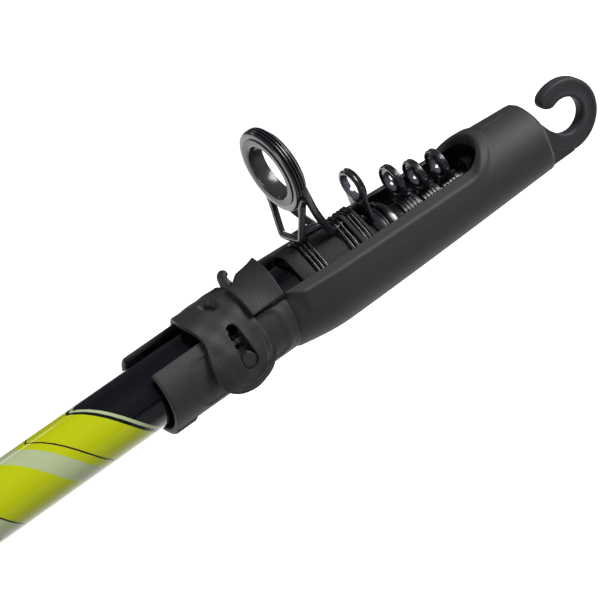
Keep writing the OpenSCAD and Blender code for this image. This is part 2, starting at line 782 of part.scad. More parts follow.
// Cap body about its own axis
module cap_body(grow) {
    r0 = ear_r + 0.4 + grow;
    r1 = body_d / 2 + grow;
    r2 = mid_d / 2 + grow;
    r3 = nose_d / 2 + grow;
    swell = [for (i = [0 : 6]) let(t = i / 6) [r0 + (r1 - r0) * sin(90 * t), swell_l * t]];
    crown = [for (i = [1 : 3]) let(t = i / 4) [r1 + (r2 - r1) * (0.75 * t + 0.25 * t * t), swell_l + (slot_end - swell_l) * t]];
    arc = [
        for (i = [0 : 6]) let(a = 90 * i / 6)
            [r3 - nose_round + nose_round * cos(a), body_l - nose_round + nose_round * sin(a)]
    ];
    turned(concat([[0, 0]], swell, crown, [[r2, slot_end]], arc, [[0, body_l]]));
}

module cap_hook() {
    t = hook_t / 2;
    e = t - 0.05;
    b = hook_bevel;
    w = hook_bar / 2;
    mid = hook_r - w;
    eye = hook_r - hook_bar;
    neck = nose_d / 2 - 0.35;
    root_a = 215;
    section = [
        [-w + b, -t], [w - b, -t], [w, -t + b], [w, t - b], [w - b, t], [-w + b, t], [-w, t - b], [-w, -t + b]
    ];
    translate([body_l + hook_out, 0, 0]) rotate([90, 0, 0]) {
        rotate([0, 0, root_a - 360])
            rotate_extrude(angle = hook_end + 360 - root_a)
                translate([mid, 0])
                    polygon(section);
        rotate([0, 0, hook_end])
            translate([mid, 0, 0])
                rotate_extrude()
                    polygon([[0, -e], [w - b - 0.05, -e], [w - 0.05, -e + b], [w - 0.05, e - b], [w - b - 0.05, e], [0, e]]);
        // Plate from the nose to the hook, its upper edge straight from the nose's top to the eye
        translate([0, 0, -e])
            linear_extrude(2 * e)
                difference() {
                    polygon([
                        [-hook_out - 1, -hook_r + 0.7], [-1, -hook_r + 0.3], [-1, -eye - 0.5], [eye * cos(root_a), eye * sin(root_a)],
                        [-hook_out - 0.2, neck - 0.5], [-hook_out - 1, neck - 0.5]
                    ]);
                    circle(r = eye + 0.1);
                }
    }
    // Shoulders where the round nose flattens into the plate
    intersection() {
        turned([[0, body_l - 3], [neck, body_l - 3], [neck, body_l + hook_out], [0, body_l + hook_out]]);
        translate([0, 0, -neck - 1])
            linear_extrude(2 * neck + 2)
                polygon([
                    [body_l - 4, -neck - 1], [body_l - 1.2, -neck - 1], [body_l + 6.4, -e + 0.1], [body_l + 6.4, e - 0.1],
                    [body_l - 1.2, neck + 1], [body_l - 4, neck + 1]
                ]);
        translate([0, neck + 1, 0])
            rotate([90, 0, 0])
                linear_extrude(2 * neck + 2)
                    polygon([
                        [body_l - 4, -5], [body_l, -5], [body_l + 6, -3.7], [body_l - 0.5, neck - 0.7], [body_l - 4, neck - 0.7]
                    ]);
    }
}

// What is cut away over the rim: a roof-shaped top that rises to the body at the slot's end
module rim_top() {
    drop = 20 * tan(rim_slope);
    ramp = slot_end - 5.5;
    intersection() {
        rotate([0, rim_dip, 0])
            translate([-5, 0, 0])
                rotate([90, 0, 90])
                    linear_extrude(body_l)
                        polygon([[-20, ridge_h - drop], [0, ridge_h], [20, ridge_h - drop], [20, 40], [-20, 40]]);
        translate([0, 20, 0])
            rotate([90, 0, 0])
                linear_extrude(40)
                    polygon([[-9, 2], [ramp, 5], [ramp + 7.5, mid_d / 2 - 0.2], [ramp + 12, 16], [ramp + 12, 40], [-9, 40]]);
    }
}

module tip_cap() {
    bore0 = ear_bore_d / 2;
    bore1 = body_d / 2 - body_wall;
    bore2 = mid_d / 2 - body_wall;
    bore_l = body_l - nose_solid;
    dome = [for (i = [0 : 6]) let(a = 90 * i / 6) [bore2 * cos(a), bore_l - bore2 * 0.6 + bore2 * 0.6 * sin(a)]];
    color("dimgray")
        rotate([cap_turn, 0, 0])
            difference() {
                union() {
                    turned([[0, ear_x], [ear_r - 0.3, ear_x], [ear_r, ear_x + 0.6], [ear_r, body_x + 2], [0, body_x + 2]]);
                    band(ear_x, lug_l, bore0, ear_r + 0.6, 138, 222);
                    for (s = [-1, 1])
                        translate([strap_x, 0, 0])
                            rotate([-90 * s, 0, 0])
                                cylinder(d = peg_d, h = ear_r + peg_h);
                    translate([body_x, 0, 0]) rotate([0, nose_dip, 0]) {
                        cap_body(0);
                        // Rim round the slot: straight walls beside it, raised a little at its end
                        intersection() {
                            linear_extrude(body_d)
                                slot_outline(
                                    0.3, swell_l, slot_end + rim_w, slot_w + 2 * rim_w, slot_end_w + 2 * rim_w, 4
                                );
                            union() {
                                cap_body(rim_h);
                                translate([0.1, -body_d, 1]) cube([slot_end - 6.1, 2 * body_d, ridge_h]);
                            }
                        }
                        cap_hook();
                    }
                }
                // Bore
                turned([[0, ear_x - 1], [bore0, ear_x - 1], [bore0, body_x + 3], [0, body_x + 3]]);
                translate([body_x, 0, 0]) rotate([0, nose_dip, 0]) {
                    turned(concat([[0, 1], [bore0 + 0.5, 1], [bore1, swell_l]], dome));
                    linear_extrude(body_d)
                        slot_outline(strap_x - body_x, swell_l, slot_end, slot_w, slot_end_w, 0.5);
                    rim_top();
                }
                translate([ear_x - 1, -ear_slot_w / 2, 0]) cube([strap_x - ear_x + 2, ear_slot_w, body_d]);
            }
}

module cap_strap() {
    r0 = strap_r;
    r1 = strap_r + strap_t;
    half = strap_w / 2;
    edge = 0.5;
    tab_a = asin(tab_w / 2 / r1);
    lip = 4.8;
    nub_l = 2.6;
    color("black")
        translate([strap_x, 0, 0])
            rotate([cap_turn, 0, 0])
                difference() {
                    union() {
                        // Band over the rod from peg to peg
                        rotate([0, 90, 0])
                            rotate([0, 0, 90])
                                rotate_extrude(angle = 180)
                                    polygon([
                                        [r0 - 1, -half], [r1 - edge, -half], [r1, -half + edge], [r1, half - edge],
                                        [r1 - edge, half], [r0 - 1, half]
                                    ]);
                        // Flat round ends over the pegs, in three steps
                        for (s = [-1, 1])
                            intersection() {
                                rotate([-90 * s, 0, 0])
                                    rotate_extrude()
                                        polygon([
                                            [0, 1], [half - 0.1, 1], [half - 0.1, r1 + 0.05], [half - 1.5, r1 + 0.1],
                                            [half - 1.6, r1 + 0.3], [half - 3, r1 + 0.35], [half - 3.1, r1 + 0.55],
                                            [0, r1 + 0.55]
                                        ]);
                                translate([-strap_w, -2 * r1, -2 * r1]) cube([2 * strap_w, 4 * r1, 2 * r1 + 0.7]);
                            }
                        // Pull tab over the guide slot, its neck narrower on one side, with a nub there
                        band(half - 1.2, tab_l + 1.1, r0 - 1, r1 - 0.04, -tab_a, -tab_a * 0.1);
                        band(half + tab_l - lip, lip, r0 - 1.1, r1, -tab_a + 0.2, tab_a);
                        band(half - 0.8, nub_l + 0.8, r0 - 1.1, r1 + 0.2, tab_a * 0.06, tab_a * 0.46);
                        band(half + 1, nub_l - 1.4, r0 - 1.2, r1 + 2.6, tab_a * 0.14, tab_a * 0.38);
                    }
                    translate([-strap_w, 0, 0])
                        rotate([0, 90, 0])
                            cylinder(r = r0, h = 2 * strap_w + 2 * tab_l);
                    // Slots that slip over the pegs
                    for (s = [-1, 1]) {
                        rotate([-90 * s, 0, 0]) cylinder(d = peg_d + 2 * strap_gap, h = 2 * r1);
                        band(
                            -strap_slot_w / 2, strap_slot_w, r0 - 1, r1 + 4,
                            s > 0 ? 90 - strap_slot_a : -90, s > 0 ? 90 : strap_slot_a - 90
                        );
                    }
                    // Round dimple at the top
                    translate([0, 0, r1 - strap_t / 2]) cylinder(d = strap_slot_w + 1, h = strap_t);
                }
}

butt_blank();
butt_sleeve();
butt_washer();
butt_cap();
butt_pad();
rear_grip();
seat_tube();
fixed_hood();
moving_hood();
lock_nut();
fore_grip();
trim_ring();
guide_1_wrap();
guide_1_saddle();
guide_1_frame();
guide_1_insert();
guide_1_rear_whipping();
guide_1_front_whipping();
section_2();
guide_2_frame();
guide_2_insert();
guide_2_whipping();
section_3();
guide_3_frame();
guide_3_insert();
section_4();
guide_4_frame();
guide_4_insert();
section_5();
guide_5_frame();
guide_5_insert();
section_6();
tip_top();
tip_insert();
tip_cap();
cap_strap();
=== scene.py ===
"""Looks of a telescopic spinning rod, pushed together and capped for carrying."""

import bmesh
import bpy
import numpy as np
from mathutils import Matrix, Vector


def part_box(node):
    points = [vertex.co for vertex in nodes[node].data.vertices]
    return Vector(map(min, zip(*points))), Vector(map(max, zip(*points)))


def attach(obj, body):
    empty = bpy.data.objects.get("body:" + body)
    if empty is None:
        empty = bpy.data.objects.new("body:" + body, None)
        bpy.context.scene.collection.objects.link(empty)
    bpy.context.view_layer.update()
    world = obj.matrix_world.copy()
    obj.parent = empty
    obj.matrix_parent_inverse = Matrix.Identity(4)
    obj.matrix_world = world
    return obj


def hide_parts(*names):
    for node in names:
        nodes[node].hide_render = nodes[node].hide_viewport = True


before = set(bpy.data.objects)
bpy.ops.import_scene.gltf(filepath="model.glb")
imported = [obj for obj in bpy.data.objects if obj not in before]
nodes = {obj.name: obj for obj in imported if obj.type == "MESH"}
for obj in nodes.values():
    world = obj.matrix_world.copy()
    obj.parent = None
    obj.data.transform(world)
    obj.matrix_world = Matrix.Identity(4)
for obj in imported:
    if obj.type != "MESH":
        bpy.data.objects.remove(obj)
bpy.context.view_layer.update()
scene = bpy.context.scene
scene.view_settings.view_transform = "Standard"

# Butt blank: a rolled fibre tube, printed with plain chevron bands in yellow, pale green and
# near-black, and then dipped in clear lacquer. Sizes here and below are in millimetres.
MM = 0.001
BLANK_X, BLANK_END = 13.2, 500.0
BLANK_BASE_R, BLANK_TIP_R = 9.6, 9.0
YELLOW = (0.50, 0.56, 0.003)
PALE_GREEN = (0.45, 0.52, 0.29)
INK = (0.003, 0.0035, 0.007)
BAND_SLANT = 7.5


def finish(name, colour, roughness, **sockets):
    """A new material with one Principled shader, and that shader; the sockets take plain values."""
    made = bpy.data.materials.new(name)
    made.use_nodes = True
    shader = made.node_tree.nodes["Principled BSDF"]
    shader.inputs["Base Color"].default_value = (*colour, 1.0)
    shader.inputs["Roughness"].default_value = roughness
    for socket, value in sockets.items():
        shader.inputs[socket.replace("_", " ")].default_value = value
    return made, shader


def place(tree, kind, *sources, **settings):
    """A shader node with its settings; each source is a link or a plain value for the next input."""
    node = tree.nodes.new(kind)
    for key, value in settings.items():
        setattr(node, key, value)
    for socket, source in zip(node.inputs, sources):
        if isinstance(source, bpy.types.NodeSocket):
            tree.links.new(source, socket)
        elif source is not None:
            socket.default_value = source
    return node


def maths(tree, operation, *sources):
    """The output of one Math node."""
    return place(tree, "ShaderNodeMath", *sources, operation=operation).outputs[0]


def object_xyz(tree):
    """Object coordinates in millimetres, as three outputs."""
    where = place(tree, "ShaderNodeTexCoord").outputs["Object"]
    scaled = place(tree, "ShaderNodeVectorMath", where, operation="SCALE")
    scaled.inputs["Scale"].default_value = 1.0 / MM
    return scaled.outputs[0], place(tree, "ShaderNodeSeparateXYZ", scaled.outputs[0]).outputs


def dress(node, material):
    """Give a CAD node one material all over."""
    mesh = nodes[node].data
    mesh.materials.clear()
    mesh.materials.append(material)
    mesh.polygons.foreach_set("material_index", np.zeros(len(mesh.polygons), np.int32))


def uneven_group():
    """Shared unevenness: a shade factor and a height from noise at two scales, in millimetres."""
    group = bpy.data.node_groups.new("uneven_surface", "ShaderNodeTree")
    face = group.interface
    face.new_socket("Grain size", in_out="INPUT", socket_type="NodeSocketFloat").default_value = 0.3
    face.new_socket("Patch size", in_out="INPUT", socket_type="NodeSocketFloat").default_value = 6.0
    face.new_socket("Depth", in_out="INPUT", socket_type="NodeSocketFloat").default_value = 0.1
    face.new_socket("Shade", in_out="OUTPUT", socket_type="NodeSocketFloat")
    face.new_socket("Height", in_out="OUTPUT", socket_type="NodeSocketFloat")
    inside = place(group, "NodeGroupInput").outputs
    outside = place(group, "NodeGroupOutput")
    where, _ = object_xyz(group)
    grain = place(group, "ShaderNodeTexNoise", where)
    group.links.new(maths(group, "DIVIDE", 1.0, inside["Grain size"]), grain.inputs["Scale"])
    grain.inputs["Detail"].default_value = 2.0
    patch = place(group, "ShaderNodeTexNoise", where)
    group.links.new(maths(group, "DIVIDE", 1.0, inside["Patch size"]), patch.inputs["Scale"])
    patch.inputs["Detail"].default_value = 3.0
    both = maths(group, "ADD", maths(group, "MULTIPLY", grain.outputs[0], 0.6),
                 maths(group, "MULTIPLY", patch.outputs[0], 0.4))
    shift = maths(group, "MULTIPLY", maths(group, "SUBTRACT", both, 0.5), inside["Depth"])
    group.links.new(maths(group, "ADD", shift, 1.0), outside.inputs["Shade"])
    group.links.new(grain.outputs[0], outside.inputs["Height"])
    return group


UNEVEN = uneven_group()


def uneven(made, shader, colour, grain, patch, depth, bump, roughness=None):
    """Shade the colour and lift the surface with the shared unevenness; roughness takes a spread."""
    tree = made.node_tree
    group = place(tree, "ShaderNodeGroup", node_tree=UNEVEN)
    for socket, value in zip(group.inputs, (grain, patch, depth)):
        socket.default_value = value
    shaded = place(tree, "ShaderNodeVectorMath", colour, operation="SCALE")
    tree.links.new(group.outputs["Shade"], shaded.inputs["Scale"])
    tree.links.new(shaded.outputs[0], shader.inputs["Base Color"])
    if bump:
        lift = place(tree, "ShaderNodeBump")
        lift.inputs["Strength"].default_value = bump
        lift.inputs["Distance"].default_value = grain * MM
        tree.links.new(group.outputs["Height"], lift.inputs["Height"])
        tree.links.new(lift.outputs[0], shader.inputs["Normal"])
    if roughness:
        shades = (1 - depth / 2, 1 + depth / 2)
        spread = place(tree, "ShaderNodeMapRange", group.outputs["Shade"], *shades, *roughness)
        tree.links.new(spread.outputs[0], shader.inputs["Roughness"])


def surface(name, colour, roughness, grain, patch, depth, bump, **sockets):
    """A material of one uneven colour; roughness is one value or a spread, the sockets take plain values."""
    spread = roughness if isinstance(roughness, tuple) else None
    made, shader = finish(name, colour, spread[0] if spread else roughness, **sockets)
    uneven(made, shader, colour, grain, patch, depth, bump, spread)
    return made


lacquer, lacquer_shader = finish("blank_lacquer", YELLOW, 0.3, Coat_Weight=1.0, Coat_Roughness=0.04,
                                 Specular_IOR_Level=0.05)
tree = lacquer.node_tree
_, (along, across, up) = object_xyz(tree)
turn = maths(tree, "ARCTAN2", maths(tree, "ABSOLUTE", across), up)
chevron = maths(tree, "SUBTRACT", along, maths(tree, "MULTIPLY", turn, BAND_SLANT))
BANDS_FROM, BANDS_TO = 300.0, 450.0
spot = place(tree, "ShaderNodeMapRange", chevron, BANDS_FROM, BANDS_TO)
bands = place(tree, "ShaderNodeValToRGB", spot.outputs[0])
bands.color_ramp.interpolation = "CONSTANT"
layout = [
    (300, INK), (322, YELLOW), (324, INK), (327, YELLOW), (352, INK), (352.7, PALE_GREEN), (359, INK),
    (359.7, YELLOW), (378, PALE_GREEN), (385.5, YELLOW), (388, INK), (388.8, YELLOW), (401.5, INK),
    (402.7, PALE_GREEN), (404, INK),
]
ramp = bands.color_ramp.elements
for number, (start, colour) in enumerate(layout):
    stop = ramp[number] if number < 2 else ramp.new(0.999)
    stop.position = (start - BANDS_FROM) / (BANDS_TO - BANDS_FROM)
    stop.color = (*colour, 1.0)
uneven(lacquer, lacquer_shader, bands.outputs[0], grain=0.25, patch=9.0, depth=0.07, bump=0.0)
dress("butt_blank", lacquer)

# Butt end: a turned sleeve glued into the blank takes the screwed cap, with a rubber washer
# under its grooved head and a rubber pad that the sections rest on.
sleeve_metal = surface("turned_aluminium", (0.55, 0.55, 0.57), (0.22, 0.4), grain=0.2, patch=4.0, depth=0.15,
                       bump=0.05, Metallic=1.0)
dress("butt_sleeve", sleeve_metal)
rubber = surface("black_rubber", (0.028, 0.028, 0.03), (0.62, 0.85), grain=0.18, patch=5.0, depth=0.4,
                 bump=0.25)
dress("butt_washer", rubber)
dress("butt_pad", rubber)
hood_metal = surface("grey_anodised", (0.16, 0.165, 0.18), (0.26, 0.42), grain=0.12, patch=7.0, depth=0.2,
                     bump=0.08, Metallic=1.0)
dress("butt_cap", hood_metal)

# Grips: turned closed-cell foam, pushed over the blank and glued. The cells show as a fine
# matt pitting, and the cut ends are rounded over.
REAR_FROM, REAR_TO, REAR_R, REAR_WAIST = 13.2, 147.2, 14.0, 1.6
FORE_FROM, FORE_TO, FORE_R, FORE_END_R = 269.2, 315.2, 13.0, 10.75
GRIP_EDGE, GLUE = 2.0, 0.03


def skin(name, grids, close_columns=True, sharp=40.0):
    """One mesh of quads over grids of points: doubles merged, faces outwards, edges sharp past an angle."""
    points, faces, first = [], [], 0
    for part in grids:
        rows, columns = part.shape[:2]
        index = first + np.arange(rows * columns).reshape(rows, columns)
        if close_columns:
            index = np.hstack([index, index[:, :1]])
        quads = [index[:-1, :-1], index[1:, :-1], index[1:, 1:], index[:-1, 1:]]
        faces.append(np.stack(quads, -1).reshape(-1, 4))
        points.append(part.reshape(-1, 3))
        first += rows * columns
    mesh = bpy.data.meshes.new(name)
    mesh.from_pydata((np.vstack(points) * MM).tolist(), [], np.vstack(faces).tolist())
    work = bmesh.new()
    work.from_mesh(mesh)
    bmesh.ops.remove_doubles(work, verts=work.verts, dist=1e-6)
    bmesh.ops.dissolve_degenerate(work, edges=work.edges, dist=1e-7)
    bmesh.ops.recalc_face_normals(work, faces=work.faces)
    work.to_mesh(mesh)
    work.free()
    mesh.shade_smooth()
    mesh.set_sharp_from_angle(angle=np.radians(sharp))
    made = bpy.data.objects.new(name, mesh)
    scene.collection.objects.link(made)
    return made


def revolved(x, r, height=0.0, around=72):
    """The closed outline (x, r) carried round an axis that runs along the rod at a height over it."""
    angle = np.linspace(0, 2 * np.pi, around, endpoint=False)
    x, r = np.append(x, x[0])[:, None], np.append(r, r[0])[:, None]
    return np.stack([x + 0 * angle, r * np.sin(angle), height + r * np.cos(angle)], -1)


def wear(piece, material, body, slot, *replaced):
    """Give a new piece its material and its body, and hide the CAD nodes that it stands for; the slot is not
    used.
    """
    piece.data.materials.append(material)
    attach(piece, body)
    if replaced:
        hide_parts(*replaced)
    return piece


def blank_r(x):
    """Outer radius of the butt blank at x, a straight taper."""
    return BLANK_BASE_R + (BLANK_TIP_R - BLANK_BASE_R) * (x - BLANK_X) / (BLANK_END - BLANK_X)


def grip_outline(x0, x1, radius):
    """Closed outline of a grip: rounded rear edge, the radius over the length, rounded front edge, bore."""
    bend = np.linspace(0, np.pi / 2, 9)
    t = np.linspace(0, 1, 60)
    r = radius(t)
    run, drop = GRIP_EDGE * (1 - np.cos(bend)), GRIP_EDGE * (1 - np.sin(bend))
    between = x0 + GRIP_EDGE + (x1 - x0 - 2 * GRIP_EDGE) * t[1:-1]
    x = np.concatenate([[x0], x0 + run, between, x1 - run[::-1], [x1]])
    r = np.concatenate([[blank_r(x0) + GLUE], r[0] - drop, r[1:-1], r[-1] - drop[::-1], [blank_r(x1) + GLUE]])
    return x, r


def rear_r(t):
    """Radius of the rear grip along its length: full at both ends, drawn in to a waist."""
    return REAR_R - REAR_WAIST * np.sin(np.pi * t) ** 2


def fore_r(t):
    """Radius of the fore grip along its length: an S-shaped taper to its front end."""
    return FORE_R - (FORE_R - FORE_END_R) * np.sin(np.pi / 2 * t) ** 2


foam = surface("black_foam", (0.022, 0.022, 0.023), (0.8, 1.0), grain=0.45, patch=8.0, depth=0.7, bump=0.5)
rear_grip = skin("rear_grip_foam", [revolved(*grip_outline(REAR_FROM, REAR_TO, rear_r), around=96)])
wear(rear_grip, foam, "rod_butt", "foam", "rear_grip")
fore_grip = skin("fore_grip_foam", [revolved(*grip_outline(FORE_FROM, FORE_TO, fore_r), around=96)])
wear(fore_grip, foam, "rod_butt", "foam", "fore_grip")

# Reel seat: a moulded black tube with a flat for the reel foot, one hood glued on, one that
# slides, and the ribbed nut that locks it. A turned trim ring closes the fore grip.
seat_plastic = surface("seat_plastic", (0.018, 0.018, 0.02), (0.28, 0.45), grain=0.15, patch=6.0, depth=0.3,
                       bump=0.05)
dress("seat_tube", seat_plastic)
for node in ("fixed_hood", "moving_hood", "lock_nut"):
    dress(node, hood_metal)
trim_metal = surface("yellow_anodised", (0.56, 0.5, 0.05), (0.22, 0.36), grain=0.1, patch=5.0, depth=0.12,
                     bump=0.03, Metallic=1.0)
dress("trim_ring", trim_metal)

# First guide: a black-plated frame of grooved ring, legs and cross bar with a deep hard liner, on
# a thin speckled wrap with a domed block. Dull cloth bands and resin-wet cord bind its feet down.
WRAP_R = 9.234
FOOT_HALF_W, FOOT_TOP = 2.0, WRAP_R + 1.9
FOOT_A = np.arctan2(FOOT_HALF_W, FOOT_TOP)
FLANK_A = FOOT_A + np.arccos(WRAP_R / np.hypot(FOOT_HALF_W, FOOT_TOP))
RING_X, RING_Z, RING_BORE, RING_AROUND = 484.4, 33.4, 10.3, 128
BAND_H, BAND_EDGE = 0.8, 0.5
BANDS = {"guide_1_rear_band": (475.1, 479.7), "guide_1_front_band": (495.2, 496.5),
         "guide_1_end_band": (498.7, 499.7)}
REAR_CORD = (480.15, 3, 1.3, 0.48, 0.42)
FRONT_CORDS = ((491.9, 2, 1.45, 0.46, 0.42), (496.5, 2, 1.2, 0.46, 0.42))


def bound_r(angle):
    """Radius of what is drawn round the blank and over the foot: flat on top, then straight to the blank."""
    b = np.abs((angle + np.pi) % (2 * np.pi) - np.pi)
    flank = WRAP_R / np.cos(np.clip(FLANK_A - b, 0, 1.2))
    return np.where(b < FOOT_A, FOOT_TOP / np.cos(b), np.where(b < FLANK_A, flank, WRAP_R))


def both_faces(half_x, half_r, x, height, around=72):
    """A ring that is alike on both faces, from half of its outline, at a place and a height over the rod."""
    whole_x = np.concatenate([half_x, -half_x[::-1]])
    return revolved(x + whole_x, np.concatenate([half_r, half_r[::-1]]), height, around)


def boxy(power, points=16):
    """Across and through of a section of half-width one, oval at power two and boxier above it."""
    b = np.linspace(0, 2 * np.pi, points, endpoint=False)
    return [np.sign(wave) * np.abs(wave) ** (2 / power) for wave in (np.cos(b), np.sin(b))]


def carried(path, flat, half_w, half_t, ends=1.0, power=4.0, points=16):
    """A boxy section carried along a path, wide along the flat direction; the ends close over a length."""
    ahead = np.gradient(path, axis=0)
    ahead /= np.linalg.norm(ahead, axis=1, keepdims=True)
    side = flat - ahead * np.sum(flat * ahead, axis=1, keepdims=True)
    side /= np.linalg.norm(side, axis=1, keepdims=True)
    out = np.cross(side, ahead)
    run = np.concatenate([[0], np.cumsum(np.linalg.norm(np.diff(path, axis=0), axis=1))])
    from_end = np.clip(np.minimum(run, run[-1] - run) / ends, 0, 1)
    shrink = np.sqrt(np.clip(1 - (1 - from_end) ** 2, 0, 1))
    wide, thick = boxy(power, points)
    across = (half_w * shrink)[:, None] * wide
    through = (half_t * shrink)[:, None] * thick
    return path[:, None] + across[:, :, None] * side[:, None] + through[:, :, None] * out[:, None]


def eased(corners, count=60, passes=3):
    """A smooth path near corner points: straight runs whose corners are cut again and again."""
    line = np.array(corners, float)
    for _ in range(passes):
        near = 0.75 * line[:-1] + 0.25 * line[1:]
        far = 0.25 * line[:-1] + 0.75 * line[1:]
        cut = np.stack([near, far], 1).reshape(-1, 3)
        line = np.vstack([line[:1], cut, line[-1:]])
    run = np.concatenate([[0], np.cumsum(np.linalg.norm(np.diff(line, axis=0), axis=1))])
    even = np.linspace(0, run[-1], count)
    return np.stack([np.interp(even, run, line[:, k]) for k in range(3)], 1)


def winding(x, turns, step, half_w, half_h, radius):
    """One cord wound round the rod: an oval section carried along a helix, a film of glue over a radius."""
    angle = np.pi + np.linspace(0, 2 * np.pi * turns, 120 * turns + 1)
    r = radius(angle) + GLUE + half_h
    path = np.stack([x + step * (angle - np.pi) / (2 * np.pi), r * np.sin(angle), r * np.cos(angle)], -1)
    return carried(path, np.array([1.0, 0.0, 0.0]), half_w, half_h, ends=4.0, power=2.4, points=12)


def bound_band(x0, x1):
    """A flat band with rounded edges from x0 to x1, drawn round the blank and over the guide's foot."""
    run = BAND_EDGE * np.array([0.0, 0.0, 0.3, 1.0])
    rise = BAND_H * np.array([0.02, 0.55, 0.87, 1.0])
    x = np.concatenate([x0 + run, x1 - run[::-1], [x0]])
    height = np.concatenate([rise, rise[::-1], rise[:1]])
    angle = np.linspace(0, 2 * np.pi, 144, endpoint=False)
    full = bound_r(angle) + height[:, None]
    return np.stack([x[:, None] + 0 * full, full * np.sin(angle), full * np.cos(angle)], -1)


wrap_cloth = surface("speckled_wrap", (0.018, 0.018, 0.019), (0.4, 0.8), grain=0.3, patch=3.0, depth=2.6,
                     bump=0.8, Specular_IOR_Level=0.3)
dress("guide_1_wrap", wrap_cloth)
dress("guide_1_saddle", wrap_cloth)
plating = surface("black_plating", (0.015, 0.016, 0.021), (0.2, 0.32), grain=0.1, patch=3.0, depth=0.3,
                  bump=0.0, Coat_Weight=0.5, Coat_Roughness=0.12)
half_x = np.array([-1.75, -1.75, -1.65, -1.45, -1.12, -1.06, -0.74, -0.68, -0.45, -0.24, -0.18])
half_r = np.array([RING_BORE, 11.5, 11.85, 12.15, 12.25, 11.7, 11.7, 12.3, 12.4, 12.35, 11.75])
ring = both_faces(half_x, half_r, RING_X, RING_Z, RING_AROUND)
along_rod = np.array([1.0, 0.0, 0.0])
rear_leg = [(484.4, 9.6, 26.6), (483.9, 8.1, 23.2), (481.4, 5.4, 15.2), (481.1, 4.9, 13.9),
            (481.1, 3.6, 13.75)]
far_leg = [(x, -y, z) for x, y, z in rear_leg[::-1]]
web = np.interp(np.abs(np.linspace(-1, 1, 120)), [0, 0.62, 0.82, 0.97, 1], [0.75, 0.7, 0.8, 1.7, 1.9])
pieces = [ring, carried(eased(rear_leg + far_leg, 120), along_rod, 0.95, web, ends=0.8)]
for side in (-1, 1):
    front = eased([(484.8, 11.3 * side, 29.4), (485.2, 10.7 * side, 27.0), (486.8, 7.6 * side, 19.6),
                   (490.0, 4.0 * side, 11.4), (491.6, 3.1 * side, 9.75), (495.5, 1.9 * side, 9.85)], 60)
    pieces.append(carried(front, np.array([1.0, 0.0, 0.8]), 1.05, 0.75, ends=0.8))
    tongue = eased([(481.2, 1.4 * side, 13.75), (486.0, 1.5 * side, 13.55), (490.4, 1.3 * side, 12.4),
                    (492.5, 1.1 * side, 10.4), (498.5, 1.1 * side, 10.2)], 40)
    pieces.append(carried(tongue, np.array([0.0, 1.0, 0.0]), 1.0, 0.35, ends=0.5))
guide_frame = skin("guide_1_stamped_frame", pieces)
wear(guide_frame, plating, "rod_butt", "guide_metal", "guide_1_frame")
hard_ring = surface("grey_hard_ring", (0.05, 0.05, 0.055), (0.16, 0.28), grain=0.1, patch=3.0, depth=0.15,
                    bump=0.02, Metallic=0.3)
liner_x = np.array([-2.1, -2.1, -2.0, -1.75, -1.4, 2.3, 2.65, 2.85, 2.85])
liner_r = np.array([10.25, 8.9, 8.35, 7.95, 7.8, 7.8, 7.95, 8.4, 10.25])
liner = skin("guide_1_liner", [revolved(RING_X + liner_x, liner_r, RING_Z, RING_AROUND)])
wear(liner, hard_ring, "rod_butt", "ring_hard", "guide_1_insert")
resin = surface("resin_winding", (0.004, 0.004, 0.0045), (0.14, 0.26), grain=0.3, patch=2.0, depth=0.8,
                bump=0.1, Specular_IOR_Level=0.4)
rear_winding = skin("guide_1_rear_winding", [winding(*REAR_CORD, bound_r)])
wear(rear_winding, resin, "rod_butt", "whipping", "guide_1_rear_whipping")
front_winding = skin("guide_1_front_winding", [winding(*cord, bound_r) for cord in FRONT_CORDS])
wear(front_winding, resin, "rod_butt", "whipping", "guide_1_front_whipping")
for name, (x0, x1) in BANDS.items():
    wear(skin(name, [bound_band(x0, x1)]), wrap_cloth, "rod_butt", "wrap")

# Sections two to six: rolled carbon tubes in clear lacquer, one inside the other. The third to
# fifth guides are thin lipped rings with a polished liner and two legs, on a ribbed collar that is
# pushed over the section's end. The last section ends in a tip top with a ring of the same kind.
carbon = surface("carbon_lacquer", (0.014, 0.014, 0.016), 0.3, grain=0.5, patch=6.0, depth=0.5, bump=0.0,
                 Coat_Weight=1.0, Coat_Roughness=0.04, Specular_IOR_Level=0.05)
for number in range(2, 7):
    dress(f"section_{number}", carbon)
SMALL_GUIDES = {3: (1.4, 0.4), 4: (1.0, -0.4), 5: (1.0, -0.1)}
LIP_OUT, SMALL_T, SMALL_FOOT = 0.25, 2.25, 0.2
COLLAR_L, COLLAR_WALL, RIB_H = 5.6, 0.69, 0.35
bright_ring = surface("polished_ring", (0.13, 0.135, 0.165), (0.08, 0.18), grain=0.08, patch=2.0, depth=0.15,
                      bump=0.02, Metallic=0.5)


def node_box(node):
    """Lowest and highest corner of a CAD node at rest, in millimetres."""
    return [np.array(corner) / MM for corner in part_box(node)]


